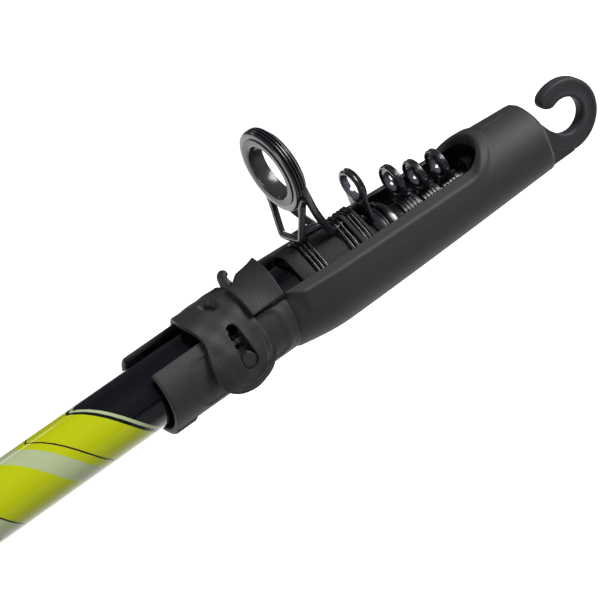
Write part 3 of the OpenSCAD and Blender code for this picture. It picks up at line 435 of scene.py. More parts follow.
lip_x = np.array([-0.45, -0.5, -0.9, -1.0, -0.98, -0.75, -0.4, -0.2])
lip_t = np.array([0.12, 0.55, 0.66, 0.76, 0.88, 0.98, 1.0, 0.92])
liner_x = np.array([-0.85, -0.95, -0.6])
liner_t = np.array([0.3, 0.12, 0.0])
rib_x = COLLAR_L / 5 * (np.arange(1, 5)[:, None] + np.array([-0.3, -0.1, 0.1, 0.3])).ravel()
collar_x = np.concatenate([[0], rib_x, [COLLAR_L, COLLAR_L, 0]])
collar_h = np.concatenate([[0], np.tile([0, RIB_H, RIB_H, 0], 4), [0, -COLLAR_WALL, -COLLAR_WALL]])
for number, (ahead, lift) in SMALL_GUIDES.items():
    low, high = node_box(f"guide_{number}_frame")
    ring_low, ring_high = node_box(f"guide_{number}_insert")
    mid_x, _, mid_z = (ring_low + ring_high) / 2
    ring_r = high[2] - mid_z + LIP_OUT
    hole_r, foot_z = ring_r - SMALL_T, -low[2] - SMALL_FOOT
    mid_x, mid_z = mid_x + ahead, mid_z + lift
    pieces = [both_faces(lip_x, hole_r + SMALL_T * lip_t, mid_x, mid_z),
              revolved(low[0] + collar_x, -low[2] - RIB_H + collar_h, around=96)]
    for side in (-1, 1):
        leg = eased([(mid_x, 0.88 * side * ring_r, mid_z - 0.1 * ring_r),
                     (mid_x + 0.4, 0.78 * side * ring_r, mid_z - 0.7 * ring_r),
                     (mid_x + 1.4, 0.55 * side * ring_r, foot_z + 0.6),
                     (mid_x + 2.8, 0.45 * side * ring_r, foot_z)], 40)
        leg_flat, leg_w = np.array([1.0, 0.0, 0.5]), np.linspace(0.6, 1.0, 40)
        pieces.append(carried(leg, leg_flat, leg_w, 0.6, ends=0.6, power=2.6))
    small_frame = skin(f"guide_{number}_ring_frame", pieces)
    wear(small_frame, plating, f"section_{number}", "guide_metal", f"guide_{number}_frame")
    small_liner = skin(f"guide_{number}_liner", [both_faces(liner_x, hole_r + liner_t, mid_x, mid_z)])
    wear(small_liner, bright_ring, f"section_{number}", "small_ring", f"guide_{number}_insert")
dress("tip_top", plating)
dress("tip_insert", bright_ring)

# Second guide: a thin grooved ring with a polished liner, on a straight-sided stem that leans a
# little forward, all plated black and in one with a grooved collar on the section's end. One turn of
# cord in resin lies on the collar.
BACK, DROP, LINER_T, FRAME_T = 0.9, 0.35, 0.75, 1.35
STEM_LEAN, STEM_HALF_T, STEM_POWER = 0.08, 0.5, 5.0


def closed(grid, both=True):
    """A grid closed at its first row, or at both ends, by a row drawn together in the middle of that end."""
    rear = grid[:1].mean(axis=1, keepdims=True) + 0 * grid[:1]
    front = grid[-1:].mean(axis=1, keepdims=True) + 0 * grid[-1:]
    return np.concatenate([rear, grid, front] if both else [rear, grid])


low, _ = node_box("guide_2_frame")
ring_low, ring_high = node_box("guide_2_insert")
mid_x, _, mid_z = (ring_low + ring_high) / 2 - (BACK, 0.0, DROP)
hole_r = (ring_high[2] - ring_low[2]) / 2 - LINER_T
half_x = np.array([-1.15, -1.15, -0.95, -0.6, -0.25])
half_t = np.array([0.24, 0.67, 0.9, 1.0, 0.8])
collar_x = np.array([-1.2, -1.2, -0.95, 1.4, 1.6, 1.9, 2.1, 3.2, 3.4, 3.7, 3.9, 5.35, 5.6, 5.6])
collar_in = np.array([COLLAR_WALL, 0.2, 0, 0, 0.3, 0.3, 0, 0, 0.3, 0.3, 0, 0, 0.2, COLLAR_WALL])
pieces = [both_faces(half_x, hole_r + FRAME_T * half_t, mid_x, mid_z),
          revolved(low[0] + collar_x, -low[2] - collar_in, around=96)]
stem_z = mid_z - np.linspace(0, mid_z + 0.85 * low[2], 60)[:, None]
inner_y = np.sqrt(np.clip((hole_r + 0.5 * FRAME_T) ** 2 - (mid_z - stem_z) ** 2, 0, None))
outer_y = hole_r + 0.95 * FRAME_T
wide, thick = boxy(STEM_POWER)
for side in (-1, 1):
    stem_y = side * ((outer_y + inner_y) / 2 + (outer_y - inner_y) / 2 * wide)
    stem_x = mid_x - STEM_LEAN * (mid_z - stem_z) + STEM_HALF_T * thick
    pieces.append(closed(np.stack([stem_x, stem_y, stem_z + 0 * wide], -1)))
second_frame = skin("guide_2_plate_frame", pieces)
wear(second_frame, plating, "section_2", "guide_metal", "guide_2_frame")
liner_x = np.array([-1.0, -1.07, -0.7])
liner = skin("guide_2_liner", [both_faces(liner_x, hole_r + liner_t, mid_x, mid_z)])
wear(liner, bright_ring, "section_2", "small_ring", "guide_2_insert")
SMALL_CORD, CORD_IN = (506.4, 1, 1.5, 0.6, 0.4), 0.88
_, high = node_box("guide_2_whipping")
small_winding = skin("guide_2_winding", [winding(*SMALL_CORD, lambda a: high[2] - CORD_IN + 0 * a)])
wear(small_winding, resin, "section_2", "whipping", "guide_2_whipping")

# Tip cap: moulded in one piece of dark grey plastic: two ears that grip the blank, a swelling
# body with a slot for the guides and a roof-shaped rim round it, a round nose and a hook.
CAP_TURN = np.radians(8.0)
EAR_X, BODY_X, BODY_L = 425.0, 467.5, 92.53
EAR_BORE, EAR_R, EAR_SLOT, STRAP_X = 10.4, 11.9, 7.0, 449.0
SWELL_L, SWELL_R, MID_R, NOSE_R = 16.0, 13.9, 11.7, 10.7
SLOT_W, SLOT_END_W, SLOT_END = 9.4, 7.4, BODY_L - 21.4
OPEN_END, FLOOR_END = SLOT_END + 2.0, SLOT_END + 1.6
RIM_W, RIM_END_W, RIM_H, RIM_BLOCK_END, RIM_RAMP = 3.5, 5.2, 0.4, 64.5, 65.0
RIDGE, RIM_SLOPE, RIM_DIP = 12.0, np.tan(np.radians(19.3)), np.tan(np.radians(2.1))
RIM_BLOCK_H, RAMP_Z, RAMP_SLOPE = 6.0, 5.0, 0.867
LID_FILLET, WALL_FILLET, TOP_FILLET, RAMP_FILLET = 0.5, 1.2, 0.9, 3.0
NOSE_DIP = np.tan(np.radians(1.5))
WALL, BORE_END, NOSE_END, NOSE_JOINT = 1.9, BODY_L - 17.0, BODY_L - 0.7, BODY_L - 7.0
LUG_L, LUG_A, LUG_H = 7.0, np.radians(138), 0.6
PAD_HALF_L, PAD_HALF_W, PAD_CORNER, PAD_EDGE, PAD_H = 11.0, 3.6, 4.0, 0.45, 0.38
HOLLOW_HALF_L, HOLLOW_AT, HOLLOW_RIB_AT, HOLLOW_SPAN, HOLLOW_DEEP = 2.3, 62.0, 64.0, 12.0, 1.1
SEAM_H, SEAM_HALF_W, LIP = 0.15, 0.35, 0.35
HOOK_R, HOOK_BAR, HOOK_T, HOOK_OUT = 11.0, 2.75, 1.8, 11.2
HOOK_ROOT, HOOK_END = np.radians(-145.0), np.radians(117.0)
HOOK_MID, EYE_R, HOOK_X = HOOK_R - HOOK_BAR, HOOK_R - 2 * HOOK_BAR, BODY_L + HOOK_OUT
ROOT_T, ROOT_LOW, ROOT_END, CUT_SLOPE, CUT_DROP = HOOK_T - 0.06, -0.6, BODY_L + 6.2, 1.9, 1.4
PEG_X, COLUMNS = 0.6, 72
# The second, bluish grey and the span that it blends over paint a reflection on the hook end; the plastic
# itself is one grey.
CAP_GREY, HOOK_REFLECTION_GREY = (0.022, 0.022, 0.0225), (0.02, 0.022, 0.026)
HOOK_REFLECTION_FROM, HOOK_REFLECTION_TO = 562.0, 570.0


def ease(u):
    """A smooth step: three u squared less two u cubed, from 0 to 1."""
    u = np.clip(u, 0, 1)
    return u * u * (3 - 2 * u)


def soft_min(a, b, k):
    """The lesser of two heights, rounded over k where they cross."""
    h = np.clip(0.5 + 0.5 * (b - a) / k, 0, 1)
    return b + (a - b) * h - k * h * (1 - h)


def round_ended(s, x0, x1, x2, w0, w1, w2):
    """Half-width seen from above: w0 at x0, w1 to x1, narrowing to w2, and a round end at x2."""
    straight = np.interp(s, [x0, x0 + 4.0, x1, x2 - w2], [w0, w1, w1, w2])
    cap = np.sqrt(np.clip(w2 ** 2 - (s - x2 + w2) ** 2, 0, None))
    return np.where(s < x0, 0.0, np.where(s > x2 - w2, np.where(s > x2, 0.0, cap), straight))


def slot_w(s, end):
    """Half-width of the slot: narrow between the ears, wide from the strap on, with a round end."""
    wide = round_ended(s, -60.0, SWELL_L, end, SLOT_W, SLOT_W, SLOT_END_W)
    step = np.clip((s + BODY_X - STRAP_X + 0.2) / 0.4, 0, 1)
    return np.where(s < 0, EAR_SLOT + (SLOT_W - EAR_SLOT) * step, wide)


def body_r(s):
    """Radius of the round body: ears, a swell, a slow taper to the slot's end, a slower one to the nose."""
    swell = EAR_R + 0.4 + (SWELL_R - EAR_R - 0.4) * np.sin(np.pi / 2 * np.clip(s / SWELL_L, 0, 1))
    c = np.clip((s - SWELL_L) / (SLOT_END - SWELL_L), 0, 1)
    n = np.clip((s - SLOT_END) / (BODY_L - SLOT_END), 0, 1)
    blend = np.clip((s + 0.15) / 0.3, 0, 1)
    taper = (MID_R - SWELL_R) * (0.75 * c + 0.25 * c * c) + (NOSE_R - MID_R) * n
    return EAR_R + (swell + taper - EAR_R) * blend - 0.22 * np.exp(-(s / 0.4) ** 2)


def outer_r(s, turn):
    """Outer radius at an angle from the top: body, rim walls filleted in, cut by the roof-shaped top."""
    a = np.abs((turn + np.pi) % (2 * np.pi) - np.pi)
    sin, cos, degrees = np.sin(a), np.cos(a), np.degrees(a)
    body = body_r(s)
    rim_end = SLOT_END + RIM_END_W
    half = round_ended(s, 0.3, SWELL_L, rim_end, SLOT_W + 0.5, SLOT_W + RIM_W, SLOT_END_W + RIM_W)
    wall = half / np.maximum(sin, 0.02)
    lid = body + RIM_H + RIM_BLOCK_H * np.clip((RIM_BLOCK_END + 1.5 - s) / 4.0, 0, 1)
    rim = np.where(cos > 0.03, soft_min(wall, lid, LID_FILLET), 0.0)
    whole = -soft_min(-body, -rim, WALL_FILLET)
    roof = (RIDGE - s * RIM_DIP) / np.maximum(cos + sin * RIM_SLOPE, 0.05)
    ramp = (RAMP_Z + (s - RIM_RAMP) * RAMP_SLOPE) / np.maximum(cos, 0.05)
    top = -soft_min(-roof, -np.where(s > RIM_RAMP - 4, ramp, 0.0), RAMP_FILLET)
    whole = np.where((s > 0) & (a < 1.75), soft_min(whole, top, TOP_FILLET), whole)
    x = s + BODY_X
    lug = np.clip((EAR_X + LUG_L - x) / 0.4, 0, 1) * np.clip((a - LUG_A) / 0.04, 0, 1)
    from_strap, arc = np.abs(x - STRAP_X), np.abs(EAR_R * (a - np.pi / 2))
    off = np.hypot(np.maximum(from_strap - PAD_HALF_L, 0), np.maximum(arc - PAD_HALF_W, 0)) - PAD_CORNER
    pad = PAD_H * np.exp(-(off / PAD_EDGE) ** 2) * (s < -1)
    hollow = np.clip((HOLLOW_HALF_L - from_strap) / 0.3, 0, 1)
    hollow = hollow * np.clip((HOLLOW_SPAN - np.abs(degrees - HOLLOW_AT)) / 2.0, 0, 1)
    ribs = np.clip((np.abs(degrees - HOLLOW_RIB_AT) - 3.0) / 1.5, 0, 1)
    seam = SEAM_H * np.exp(-(body * a / SEAM_HALF_W) ** 2) * np.clip((s - rim_end - 0.5) / 2.0, 0, 1)
    return whole + LUG_H * lug + pad + seam - HOLLOW_DEEP * hollow * ribs


def bore_r(s):
    """Radius of the bore: plain between the ears, wider in the body, closing in a dome."""
    start = BORE_END - 0.6 * (MID_R - WALL)
    line = np.interp(s, [-60, 0.7, 1.0, SWELL_L, start],
                     [EAR_BORE, EAR_BORE, EAR_BORE + 0.5, SWELL_R - WALL, MID_R - WALL])
    dome = np.sqrt(np.clip(1 - ((s - start) / (BORE_END - start)) ** 2, 0, 1))
    return line * np.where(s > start, dome, 1.0)


def turned(x, y, z):
    """Points of the cap or its strap, turned round the rod by the angle at which the cap sits on it."""
    c, k = np.cos(CAP_TURN), np.sin(CAP_TURN)
    return np.stack([x, y * c - z * k, y * k + z * c], -1)


def set_in_cap(s, r, turn):
    """Points of the cap from place, radius and angle; the body dips a little towards the nose."""
    return turned(s + BODY_X, r * np.sin(turn), r * np.cos(turn) - np.maximum(s, 0) * NOSE_DIP)


def fan(first):
    """Angles round the rod from one slot edge to the other, close together near the edges."""
    spread = np.linspace(0, 1, COLUMNS) ** 1.8
    half = first[:, None] + (np.pi - first[:, None]) * spread
    return np.hstack([half, 2 * np.pi - half[:, -2::-1]])


def cap_walls():
    """Slotted wall, nose and dome of the bore. Loops go round outside from slot edge to slot edge, over a
    lip, back inside and over the other lip; an edge's sine is half-width over radius, found by steps."""
    rows = np.concatenate([
        EAR_X - BODY_X + np.array([0.5, 0.9]), np.arange(-41.0, -18.9, 1.0),
        [-18.72, -18.68, -18.5, -18.32, -18.28], np.arange(-17.8, -0.7, 1.0),
        [-0.7, -0.45, -0.25, -0.1, 0.05, 0.2, 0.32, 0.5, 0.8],
        np.arange(1.2, 5.0, 0.4), np.arange(5.0, 60.0, 0.8), np.arange(60.0, 64.6, 0.4),
        OPEN_END - SLOT_END_W + SLOT_END_W * np.sin(np.linspace(0, np.pi / 2, 34))])
    w = slot_w(rows, OPEN_END)
    edge = LIP * np.clip(w / 1.5, 0, 1)
    first = np.arcsin(np.clip((w + edge) / 12.0, 0, 1))
    for _ in range(12):
        first = np.arcsin(np.clip((w + edge) / outer_r(rows, first), 0, 1))
    turn_out = fan(first)
    outside = outer_r(rows[:, None], turn_out)
    turn_in = fan(np.arcsin(np.clip(slot_w(rows, FLOOR_END) / bore_r(rows), 0, 1)))
    inside = bore_r(rows[:, None]) + 0 * turn_in
    top_z = outside[:, 0] * np.cos(turn_out[:, 0])
    lip_y = np.stack([w + 0.3 * edge, w], 1)
    lip_z = np.stack([top_z - 0.3 * edge, top_z - edge], 1)
    lip_r, lip_turn = np.hypot(lip_y, lip_z), np.arctan2(lip_y, lip_z)
    loop_r = np.hstack([outside, lip_r, inside[:, ::-1], lip_r[:, ::-1]])
    loop_turn = np.hstack([turn_out, 2 * np.pi - lip_turn, turn_in[:, ::-1], lip_turn[:, ::-1]])
    columns, loop = outside.shape[1], loop_r.shape[1]
    mouth_r = np.stack([np.where(np.arange(loop) < columns, EAR_R - drop, EAR_BORE + drop)
                        for drop in (0.75, 0.45, 0.12)])
    mouth_r[0] = (EAR_R + EAR_BORE) / 2
    mouth_r[1:, np.r_[columns:columns + 2, loop - 2:loop]] = (EAR_R + EAR_BORE) / 2
    middle = (turn_out[0] + turn_in[0]) / 2
    mouth_turn = np.tile(loop_turn[0], (3, 1))
    mouth_turn[0] = np.concatenate([middle, [middle[-1]] * 2, middle[::-1], [middle[0]] * 2])
    mouth_s = EAR_X - BODY_X + np.array([0.0, 0.0, 0.15])
    wall_r, wall_turn = np.vstack([mouth_r, loop_r]), np.vstack([mouth_turn, loop_turn])
    wall_s = np.concatenate([mouth_s, rows])[:, None] + 0 * wall_r
    nose_s = np.concatenate([np.arange(OPEN_END, OPEN_END + 5.0, 0.25),
                             np.arange(OPEN_END + 5.0, NOSE_JOINT, 0.8), [NOSE_JOINT]])[:, None]
    nose_turn = np.tile(turn_out[-1], (len(nose_s), 1))
    dome_s = (OPEN_END + (BORE_END - OPEN_END) * np.sin(np.linspace(0, np.pi / 2, 14)))[:, None]
    dome_turn = np.tile(turn_in[-1], (len(dome_s), 1))
    return [set_in_cap(wall_s, wall_r, wall_turn),
            set_in_cap(nose_s + 0 * nose_turn, outer_r(nose_s, nose_turn), nose_turn),
            set_in_cap(dome_s + 0 * dome_turn, bore_r(dome_s) + 0 * dome_turn, dome_turn)]


def cap_hook():
    """The hook: a bar with a raised bead along both edges, carried round an open arc to a rounded tip."""
    tip_run = HOOK_BAR * np.sin(np.linspace(0, np.pi / 2, 12))[1:]
    swing = np.concatenate([np.linspace(HOOK_ROOT, HOOK_END, 110), HOOK_END + tip_run / HOOK_MID])[:, None]
    across = np.array([0.0, 1.15, 1.35, 1.5, 1.95, 2.45, 2.65, HOOK_BAR])
    drop = np.array([0.15, 0.15, 0.05, 0.0, 0.0, 0.12, 0.35, 0.7])
    quarter = np.stack([across, HOOK_T - drop], 1)
    around = np.vstack([quarter, quarter[::-1] * (1, -1), quarter[1:] * (-1, -1), quarter[:0:-1] * (-1, 1)])
    narrow = np.concatenate([np.ones(110), np.sqrt(np.clip(1 - (tip_run / HOOK_BAR) ** 2, 0, 1))])[:, None]
    bar_r = HOOK_MID + around[:, 0] * narrow
    y, z = around[:, 1] * (0.55 + 0.45 * narrow), bar_r * np.sin(swing)
    return closed(set_in_cap(HOOK_X + bar_r * np.cos(swing), np.hypot(y, z), np.arctan2(y, z)), both=False)


def hook_root():
    """The web from nose to hook: at each place it climbs from a low line to the slanting cut, at first as
    wide as the round nose and then as thin as the bar, with its edges rounded over along the cut."""
    s = np.concatenate([[NOSE_JOINT - 0.3], np.linspace(NOSE_JOINT, ROOT_END, 90),
                        np.linspace(ROOT_END + 0.2, HOOK_X - 1.0, 14)])
    round_r = np.minimum(body_r(s), NOSE_R + 0.4) - 0.03 * (s < NOSE_JOINT)
    cut_z = soft_min(round_r, NOSE_R - CUT_DROP - (s - NOSE_END) * CUT_SLOPE, 0.8)
    under_eye = -np.sqrt((EYE_R + 0.2) ** 2 - np.minimum(HOOK_X - s, EYE_R - 0.3) ** 2)
    top = cut_z + np.maximum(under_eye - cut_z, 0) * ease((s - HOOK_X + 6.6) / 1.6)
    past_end = np.clip((s - NOSE_END + 0.7) / 1.4, 0, 1)
    low = -round_r + ROOT_LOW * past_end + 0.35 * np.clip((s - NOSE_END) / HOOK_OUT, 0, 1)
    climb = 0.5 - 0.5 * np.cos(np.linspace(0, np.pi, 60))
    z = low[:, None] + (top - low)[:, None] * climb
    round_y = np.sqrt(np.clip(round_r[:, None] ** 2 - z ** 2, 0, None))
    narrowing = ease((s - NOSE_END + 2.0) / (ROOT_END - NOSE_END - 0.5))[:, None]
    stepped = ease(past_end)[:, None]
    flat = stepped + (narrowing - stepped) * ease((z + 6.0) / 6.0)
    rounding = 0.01 + 4.5 * np.clip((s - NOSE_END + 1.5) / 2.5, 0, 1)[:, None]
    near_cut = np.clip(1 - (top[:, None] - z) / rounding, 0, 1)
    near_cut = near_cut * np.clip((ROOT_END - s) / 3.0, 0, 1)[:, None]
    y = (round_y + (ROOT_T - round_y) * flat) * np.sqrt(1 - 0.95 * near_cut ** 2)
    y, z = np.hstack([y, -y[:, ::-1]]), np.hstack([z, z[:, ::-1]])
    return closed(set_in_cap(s[:, None] + 0 * z, np.hypot(y, z), np.arctan2(y, z)))


def cap_peg(side):
    """A peg on one ear: a five-lobed post with a rounded edge and a flat end, on the strap's line."""
    spin = np.linspace(0, 2 * np.pi, 28, endpoint=False)
    out = EAR_R + np.array([-0.6, 1.6, 1.95, 2.0, 2.0])[:, None]
    r = np.array([2.3, 2.3, 2.1, 1.7, 0.0])[:, None] * (1 + 0.07 * np.cos(5 * spin))
    y, z = side * out + 0 * spin, r * np.sin(spin)
    s = STRAP_X - BODY_X + PEG_X + r * np.cos(spin)
    return closed(set_in_cap(s, np.hypot(y, z), np.arctan2(y, z)), both=False)


cap_grids = cap_walls() + [cap_hook(), hook_root(), cap_peg(-1), cap_peg(1)]
cap = skin("tip_cap_moulding", cap_grids, sharp=50.0)
cap_plastic, cap_shader = finish("cap_plastic", CAP_GREY, 0.6)
tree = cap_plastic.node_tree
_, (along, _, _) = object_xyz(tree)
# Painted reflection: the colour turns from the cap's grey to a bluish grey towards the hook's end, along the
# rod.
painted_reflection = place(tree, "ShaderNodeMapRange", along, HOOK_REFLECTION_FROM, HOOK_REFLECTION_TO).outputs[0]
grey_and_reflection = place(tree, "ShaderNodeMix", painted_reflection, data_type="RGBA")
grey_and_reflection.inputs["A"].default_value = (*CAP_GREY, 1.0)
grey_and_reflection.inputs["B"].default_value = (*HOOK_REFLECTION_GREY, 1.0)
uneven(cap_plastic, cap_shader, grey_and_reflection.outputs["Result"], grain=0.12, patch=14.0, depth=0.25, bump=0.1,
       roughness=(0.58, 0.7))
wear(cap, cap_plastic, "tip_cap", "cap_plastic", "tip_cap")

# Strap: moulded black rubber drawn over the ears, a slot at each end slipped over a peg, with
# stepped round ends, a pull tab at the front and a torn-off feed nub beside it.
STRAP_R, STRAP_T, STRAP_HALF = 13.35, 1.4, 8.5
DISC_X, DISC_R, DISC_DROP, DISC_STEP = -0.3, 9.5, 9.0, 0.42
PEG_T = STRAP_R * np.pi / 2
HOLE_TOP, HOLE_TOP_R, HOLE_PEG_R = STRAP_R * np.radians(50.0), 1.8, 2.4
TOP_HALF, DENT_DEEP, STEPS_IN, END_TUCK = 8.6, 1.9, (1.35, 2.7), 0.008
TAB_A, TAB_UNDER, TAB_L, TAB_FLARE = np.radians(51.0), 1.2, 10.3, 2.2


def strap_points(t, x, lift, side):
    """A flat plan bent over the ears: t along the strap from its top, then straight down beyond the peg."""
    a = np.minimum(t, PEG_T) / STRAP_R
    r = STRAP_R + lift
    y, z = side * r * np.sin(a), r * np.cos(a) - np.maximum(t - PEG_T, 0)
    y = y - side * END_TUCK * np.maximum(t - PEG_T, 0) ** 2
    return turned(STRAP_X + x, y, z)


def strap_plan(side):
    """Half of the strap laid flat, as its outline and the slot inside it, point for point. The outline goes
    down the front edge, round the end, up the rear edge and back over the top."""
    go = np.linspace(0, 1, 36, endpoint=False)
    half_turn = np.linspace(0, np.pi, 32, endpoint=False)
    top_go = np.linspace(0, 1, 20, endpoint=False)
    end_turn = np.linspace(0, np.pi, 20, endpoint=False)
    down, back_up = PEG_T * go, PEG_T * (1 - go)
    front = 7.6 + np.exp(-(down / 3.0) ** 2) + 1.6 * ease((down - 14.0) / 7.0)
    if side < 0:
        rear = 0.9 * np.exp(-((back_up - 9.0) / 4.0) ** 2) - 1.2 * ease((back_up - 11.0) / 8.0)
    else:
        rear = 2.6 * ease(back_up / 12.0) - 3.8 * ease((back_up - 13.0) / 8.0)
    end_x = DISC_X + DISC_R * np.cos(half_turn)
    rim_t = np.concatenate([down, PEG_T + DISC_DROP * np.sin(half_turn), back_up, 0 * top_go])
    rim_x = np.concatenate([front, end_x, rear - TOP_HALF, TOP_HALF * (2 * top_go - 1)])
    hole_t = np.concatenate([HOLE_TOP + (PEG_T - HOLE_TOP) * go, PEG_T + HOLE_PEG_R * np.sin(half_turn),
                             PEG_T + (HOLE_TOP - PEG_T) * go, HOLE_TOP - HOLE_TOP_R * np.sin(end_turn)])
    widen = HOLE_TOP_R + (HOLE_PEG_R - HOLE_TOP_R) * go
    hole_x = PEG_X + np.concatenate([widen, HOLE_PEG_R * np.cos(half_turn), -widen[::-1],
                                     -HOLE_TOP_R * np.cos(end_turn)])
    return rim_t, rim_x, hole_t, hole_x


def strap_half(side):
    """Half of the strap: rows go from its outline in to the slot; the end is stepped and the top dented."""
    rim_t, rim_x, hole_t, hole_x = strap_plan(side)
    inward = np.array([0, 0.05, 0.12, 0.2, 0.225, 0.3, 0.41, 0.435, 0.55, 0.65, 0.75, 0.84, 0.92, 1.0])
    t = rim_t + (hole_t - rim_t) * inward[:, None]
    x = rim_x + (hole_x - rim_x) * inward[:, None]
    to_edge = DISC_R - np.hypot(x - DISC_X, np.maximum(t - PEG_T, 0))
    low_end = np.clip((t - 0.72 * PEG_T) / (0.3 * PEG_T), 0, 1)
    steps = DISC_STEP * sum(np.clip((to_edge - step) / 0.2, 0, 1) for step in STEPS_IN)
    to_near = -side * t
    pit = np.hypot((to_near - 0.7) / 3.3, (x - 0.5 - 0.25 * to_near) / 1.9)
    dent = -DENT_DEEP * np.clip((1 - pit) / 0.3, 0, 1)
    waves = 0.1 * np.sin(t * 0.9 + x * 0.35) + 0.07 * np.sin(x * 1.1 - t * 0.4)
    return strap_points(t, x, low_end * steps + dent + waves, side)


def pull_tab():
    """The tab: a flap ahead of the strap with a slanting far edge, lifted by its reach squared and waves."""
    over = np.linspace(0, 1, 41)
    x = STRAP_HALF - TAB_UNDER + np.linspace(0, 1, 30)[:, None] * (TAB_L + TAB_FLARE * over)
    far = np.radians(np.interp(x[:, -1:], [7.0, 9.4, 12.7, 19.6], [-4.0, -4.0, 7.0, 11.0]))
    a = -TAB_A + (far + TAB_A) * over
    lift = (-0.12 + 0.008 * np.maximum(x - STRAP_HALF, 0) ** 2 + 0.1 * np.sin(a * 5.0 + x * 0.6)
            + 0.5 * np.clip(a / -TAB_A, 0, 1) ** 4)
    return strap_points(STRAP_R * np.abs(a), x, lift, np.sign(a))


def feed_nub():
    """The nub: a thinning stub along a short path of place, angle and radius, bent over at its end."""
    path = eased([(STRAP_HALF + 0.9, 8, 12.4), (STRAP_HALF + 0.6, 11, 14.4), (STRAP_HALF + 0.9, 12, 16.0),
                  (STRAP_HALF + 2.5, 13, 16.4)], 24)
    x, a, r = path[:, 0], np.radians(path[:, 1]), path[:, 2]
    line = turned(STRAP_X + x, r * np.sin(a), r * np.cos(a))
    wide, thick = np.linspace(2.2, 1.5, 24), np.linspace(1.6, 0.9, 24)
    return carried(line, np.array([0.0, 1.0, -0.1]), wide, thick, ends=0.6, power=3.0)


strap = skin("strap_sheet", [strap_half(-1), strap_half(1)])
tab = skin("strap_tab", [pull_tab()], close_columns=False)
nub = skin("strap_nub", [feed_nub()])
strap_rubber = surface("strap_rubber", (0.016, 0.016, 0.0165), (0.52, 0.7), grain=0.6, patch=5.0, depth=0.5,
                       bump=0.14)
for sheet in (strap, tab):
    solid = sheet.modifiers.new("thickness", "SOLIDIFY")
    solid.thickness = STRAP_T * MM
    solid.offset = -1.0
    solid.use_even_offset = True
    soften = sheet.modifiers.new("rounded_edges", "BEVEL")
    soften.width = 0.35 * MM
    soften.segments = 3
    soften.limit_method = "ANGLE"
    soften.angle_limit = np.radians(50.0)
wear(strap, strap_rubber, "tip_cap", "rubber", "cap_strap")
wear(tab, strap_rubber, "tip_cap", "rubber")
wear(nub, strap_rubber, "tip_cap", "rubber")

# Floor, light and camera: a pale table under the rod, seen white and mirrored brightest behind
# the rod, a dim surround, a soft lamp on the hook's side, a low one off the butt end and a narrow
# one behind.
AIM = np.array([475.0, -1.0082, -2.0672])
TO_CAMERA = np.array([-0.35837, -0.83910, 0.40925])
RIGHT = np.array([0.76334, -0.51574, -0.38900])
UP = np.array([0.53748, 0.17299, 0.82534])
DISTANCE, PIXEL, FRAME_PIXELS, SENSOR = 900.0, 0.267, 600.0, 36.0
FLOOR_REACH, FLOOR_Z = 6.0, -0.2
floor_mesh = bpy.data.meshes.new("floor")
corners = [(-FLOOR_REACH, -FLOOR_REACH, FLOOR_Z), (FLOOR_REACH, -FLOOR_REACH, FLOOR_Z),
           (FLOOR_REACH, FLOOR_REACH, FLOOR_Z), (-FLOOR_REACH, FLOOR_REACH, FLOOR_Z)]
floor_mesh.from_pydata(corners, [], [(0, 1, 2, 3)])
floor = bpy.data.objects.new("floor", floor_mesh)
scene.collection.objects.link(floor)
pale, pale_shader = finish("pale_floor", (0.9, 0.9, 0.9), 0.9, Emission_Strength=1.0, Specular_IOR_Level=0.0)
tree = pale.node_tree
ray = place(tree, "ShaderNodeLightPath").outputs
_, (_, across, _) = object_xyz(tree)
behind = place(tree, "ShaderNodeMapRange", across, -130.0, 40.0, 0.0, 1.0).outputs[0]
mirrored = maths(tree, "MULTIPLY", ray["Is Glossy Ray"], maths(tree, "MULTIPLY", behind, 1.3))
seen = maths(tree, "MAXIMUM", ray["Is Camera Ray"], ray["Is Transmission Ray"])
shown = maths(tree, "MULTIPLY", seen, 0.85)
tree.links.new(maths(tree, "ADD", mirrored, shown), pale_shader.inputs["Emission Color"])
bounce = maths(tree, "ADD", 0.3, maths(tree, "MULTIPLY", ray["Is Camera Ray"], 0.6))
tree.links.new(bounce, pale_shader.inputs["Base Color"])
floor_mesh.materials.append(pale)
world = bpy.data.worlds.new("white_surround")
scene.world = world
world.use_nodes = True
tree = world.node_tree
background = tree.nodes["Background"]
ray = place(tree, "ShaderNodeLightPath").outputs
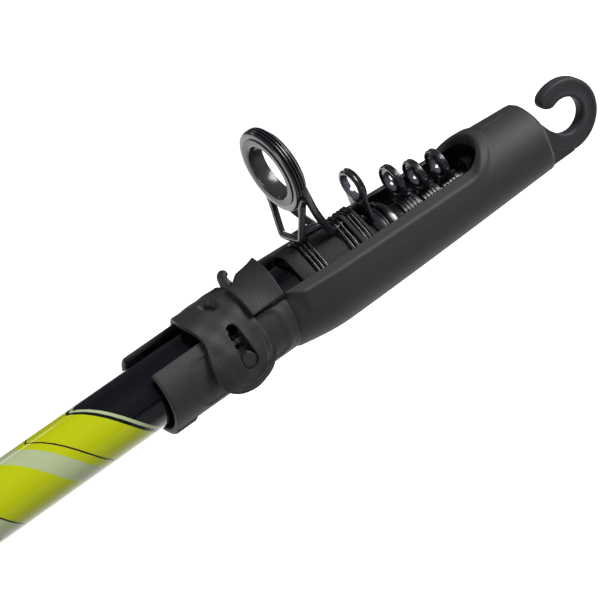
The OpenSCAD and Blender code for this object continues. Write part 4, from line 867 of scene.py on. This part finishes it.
direct = place(tree, "ShaderNodeTexCoord").outputs["Generated"]
facing = place(tree, "ShaderNodeVectorMath", direct, tuple(TO_CAMERA), operation="DOT_PRODUCT")
level = place(tree, "ShaderNodeMapRange", facing.outputs["Value"], -0.5, 0.9, 0.06, 0.16).outputs[0]
seen = maths(tree, "MAXIMUM", ray["Is Camera Ray"], ray["Is Transmission Ray"])
tree.links.new(maths(tree, "MAXIMUM", seen, level), background.inputs["Strength"])
background.inputs["Color"].default_value = (1.0, 1.0, 1.0, 1.0)


def lamp(name, place_at, aim, size, power):
    """A rectangular area lamp at a place, turned towards a point, in metres and watts."""
    data = bpy.data.lights.new(name, "AREA")
    data.shape = "RECTANGLE"
    data.size, data.size_y = size
    data.energy = power
    made = bpy.data.objects.new(name, data)
    scene.collection.objects.link(made)
    back = np.array(place_at) - np.array(aim)
    back = back / np.linalg.norm(back)
    side = np.cross([0.0, 1.0, 0.001], back)
    side = side / np.linalg.norm(side)
    turn_to = np.stack([side, np.cross(back, side), back], 1)
    made.matrix_world = Matrix.Translation(place_at) @ Matrix(turn_to.tolist()).to_4x4()


lamp("hook_side_lamp", (1.15, -0.42, 0.55), (0.5, 0.0, 0.0), (0.5, 0.5), 12.1)
lamp("butt_end_lamp", (-0.3, -0.15, 0.27), (0.5, 0.0, 0.0), (0.3, 0.3), 2.8)
lamp("rear_lamp", (0.35, 0.6, 0.45), (0.48, 0.0, 0.0), (0.6, 0.08), 0.4)
camera_data = bpy.data.cameras.new("camera")
camera_data.sensor_fit = "HORIZONTAL"
camera_data.sensor_width = SENSOR
camera_data.lens = SENSOR * (DISTANCE / PIXEL) / FRAME_PIXELS
camera_data.clip_end = 50.0
camera = bpy.data.objects.new("camera", camera_data)
scene.collection.objects.link(camera)
turn_to = np.stack([RIGHT, UP, TO_CAMERA], 1)
camera.matrix_world = (Matrix.Translation((AIM + DISTANCE * TO_CAMERA) * MM)
                       @ Matrix(turn_to.tolist()).to_4x4())
scene.camera = camera

bpy.context.view_layer.update()
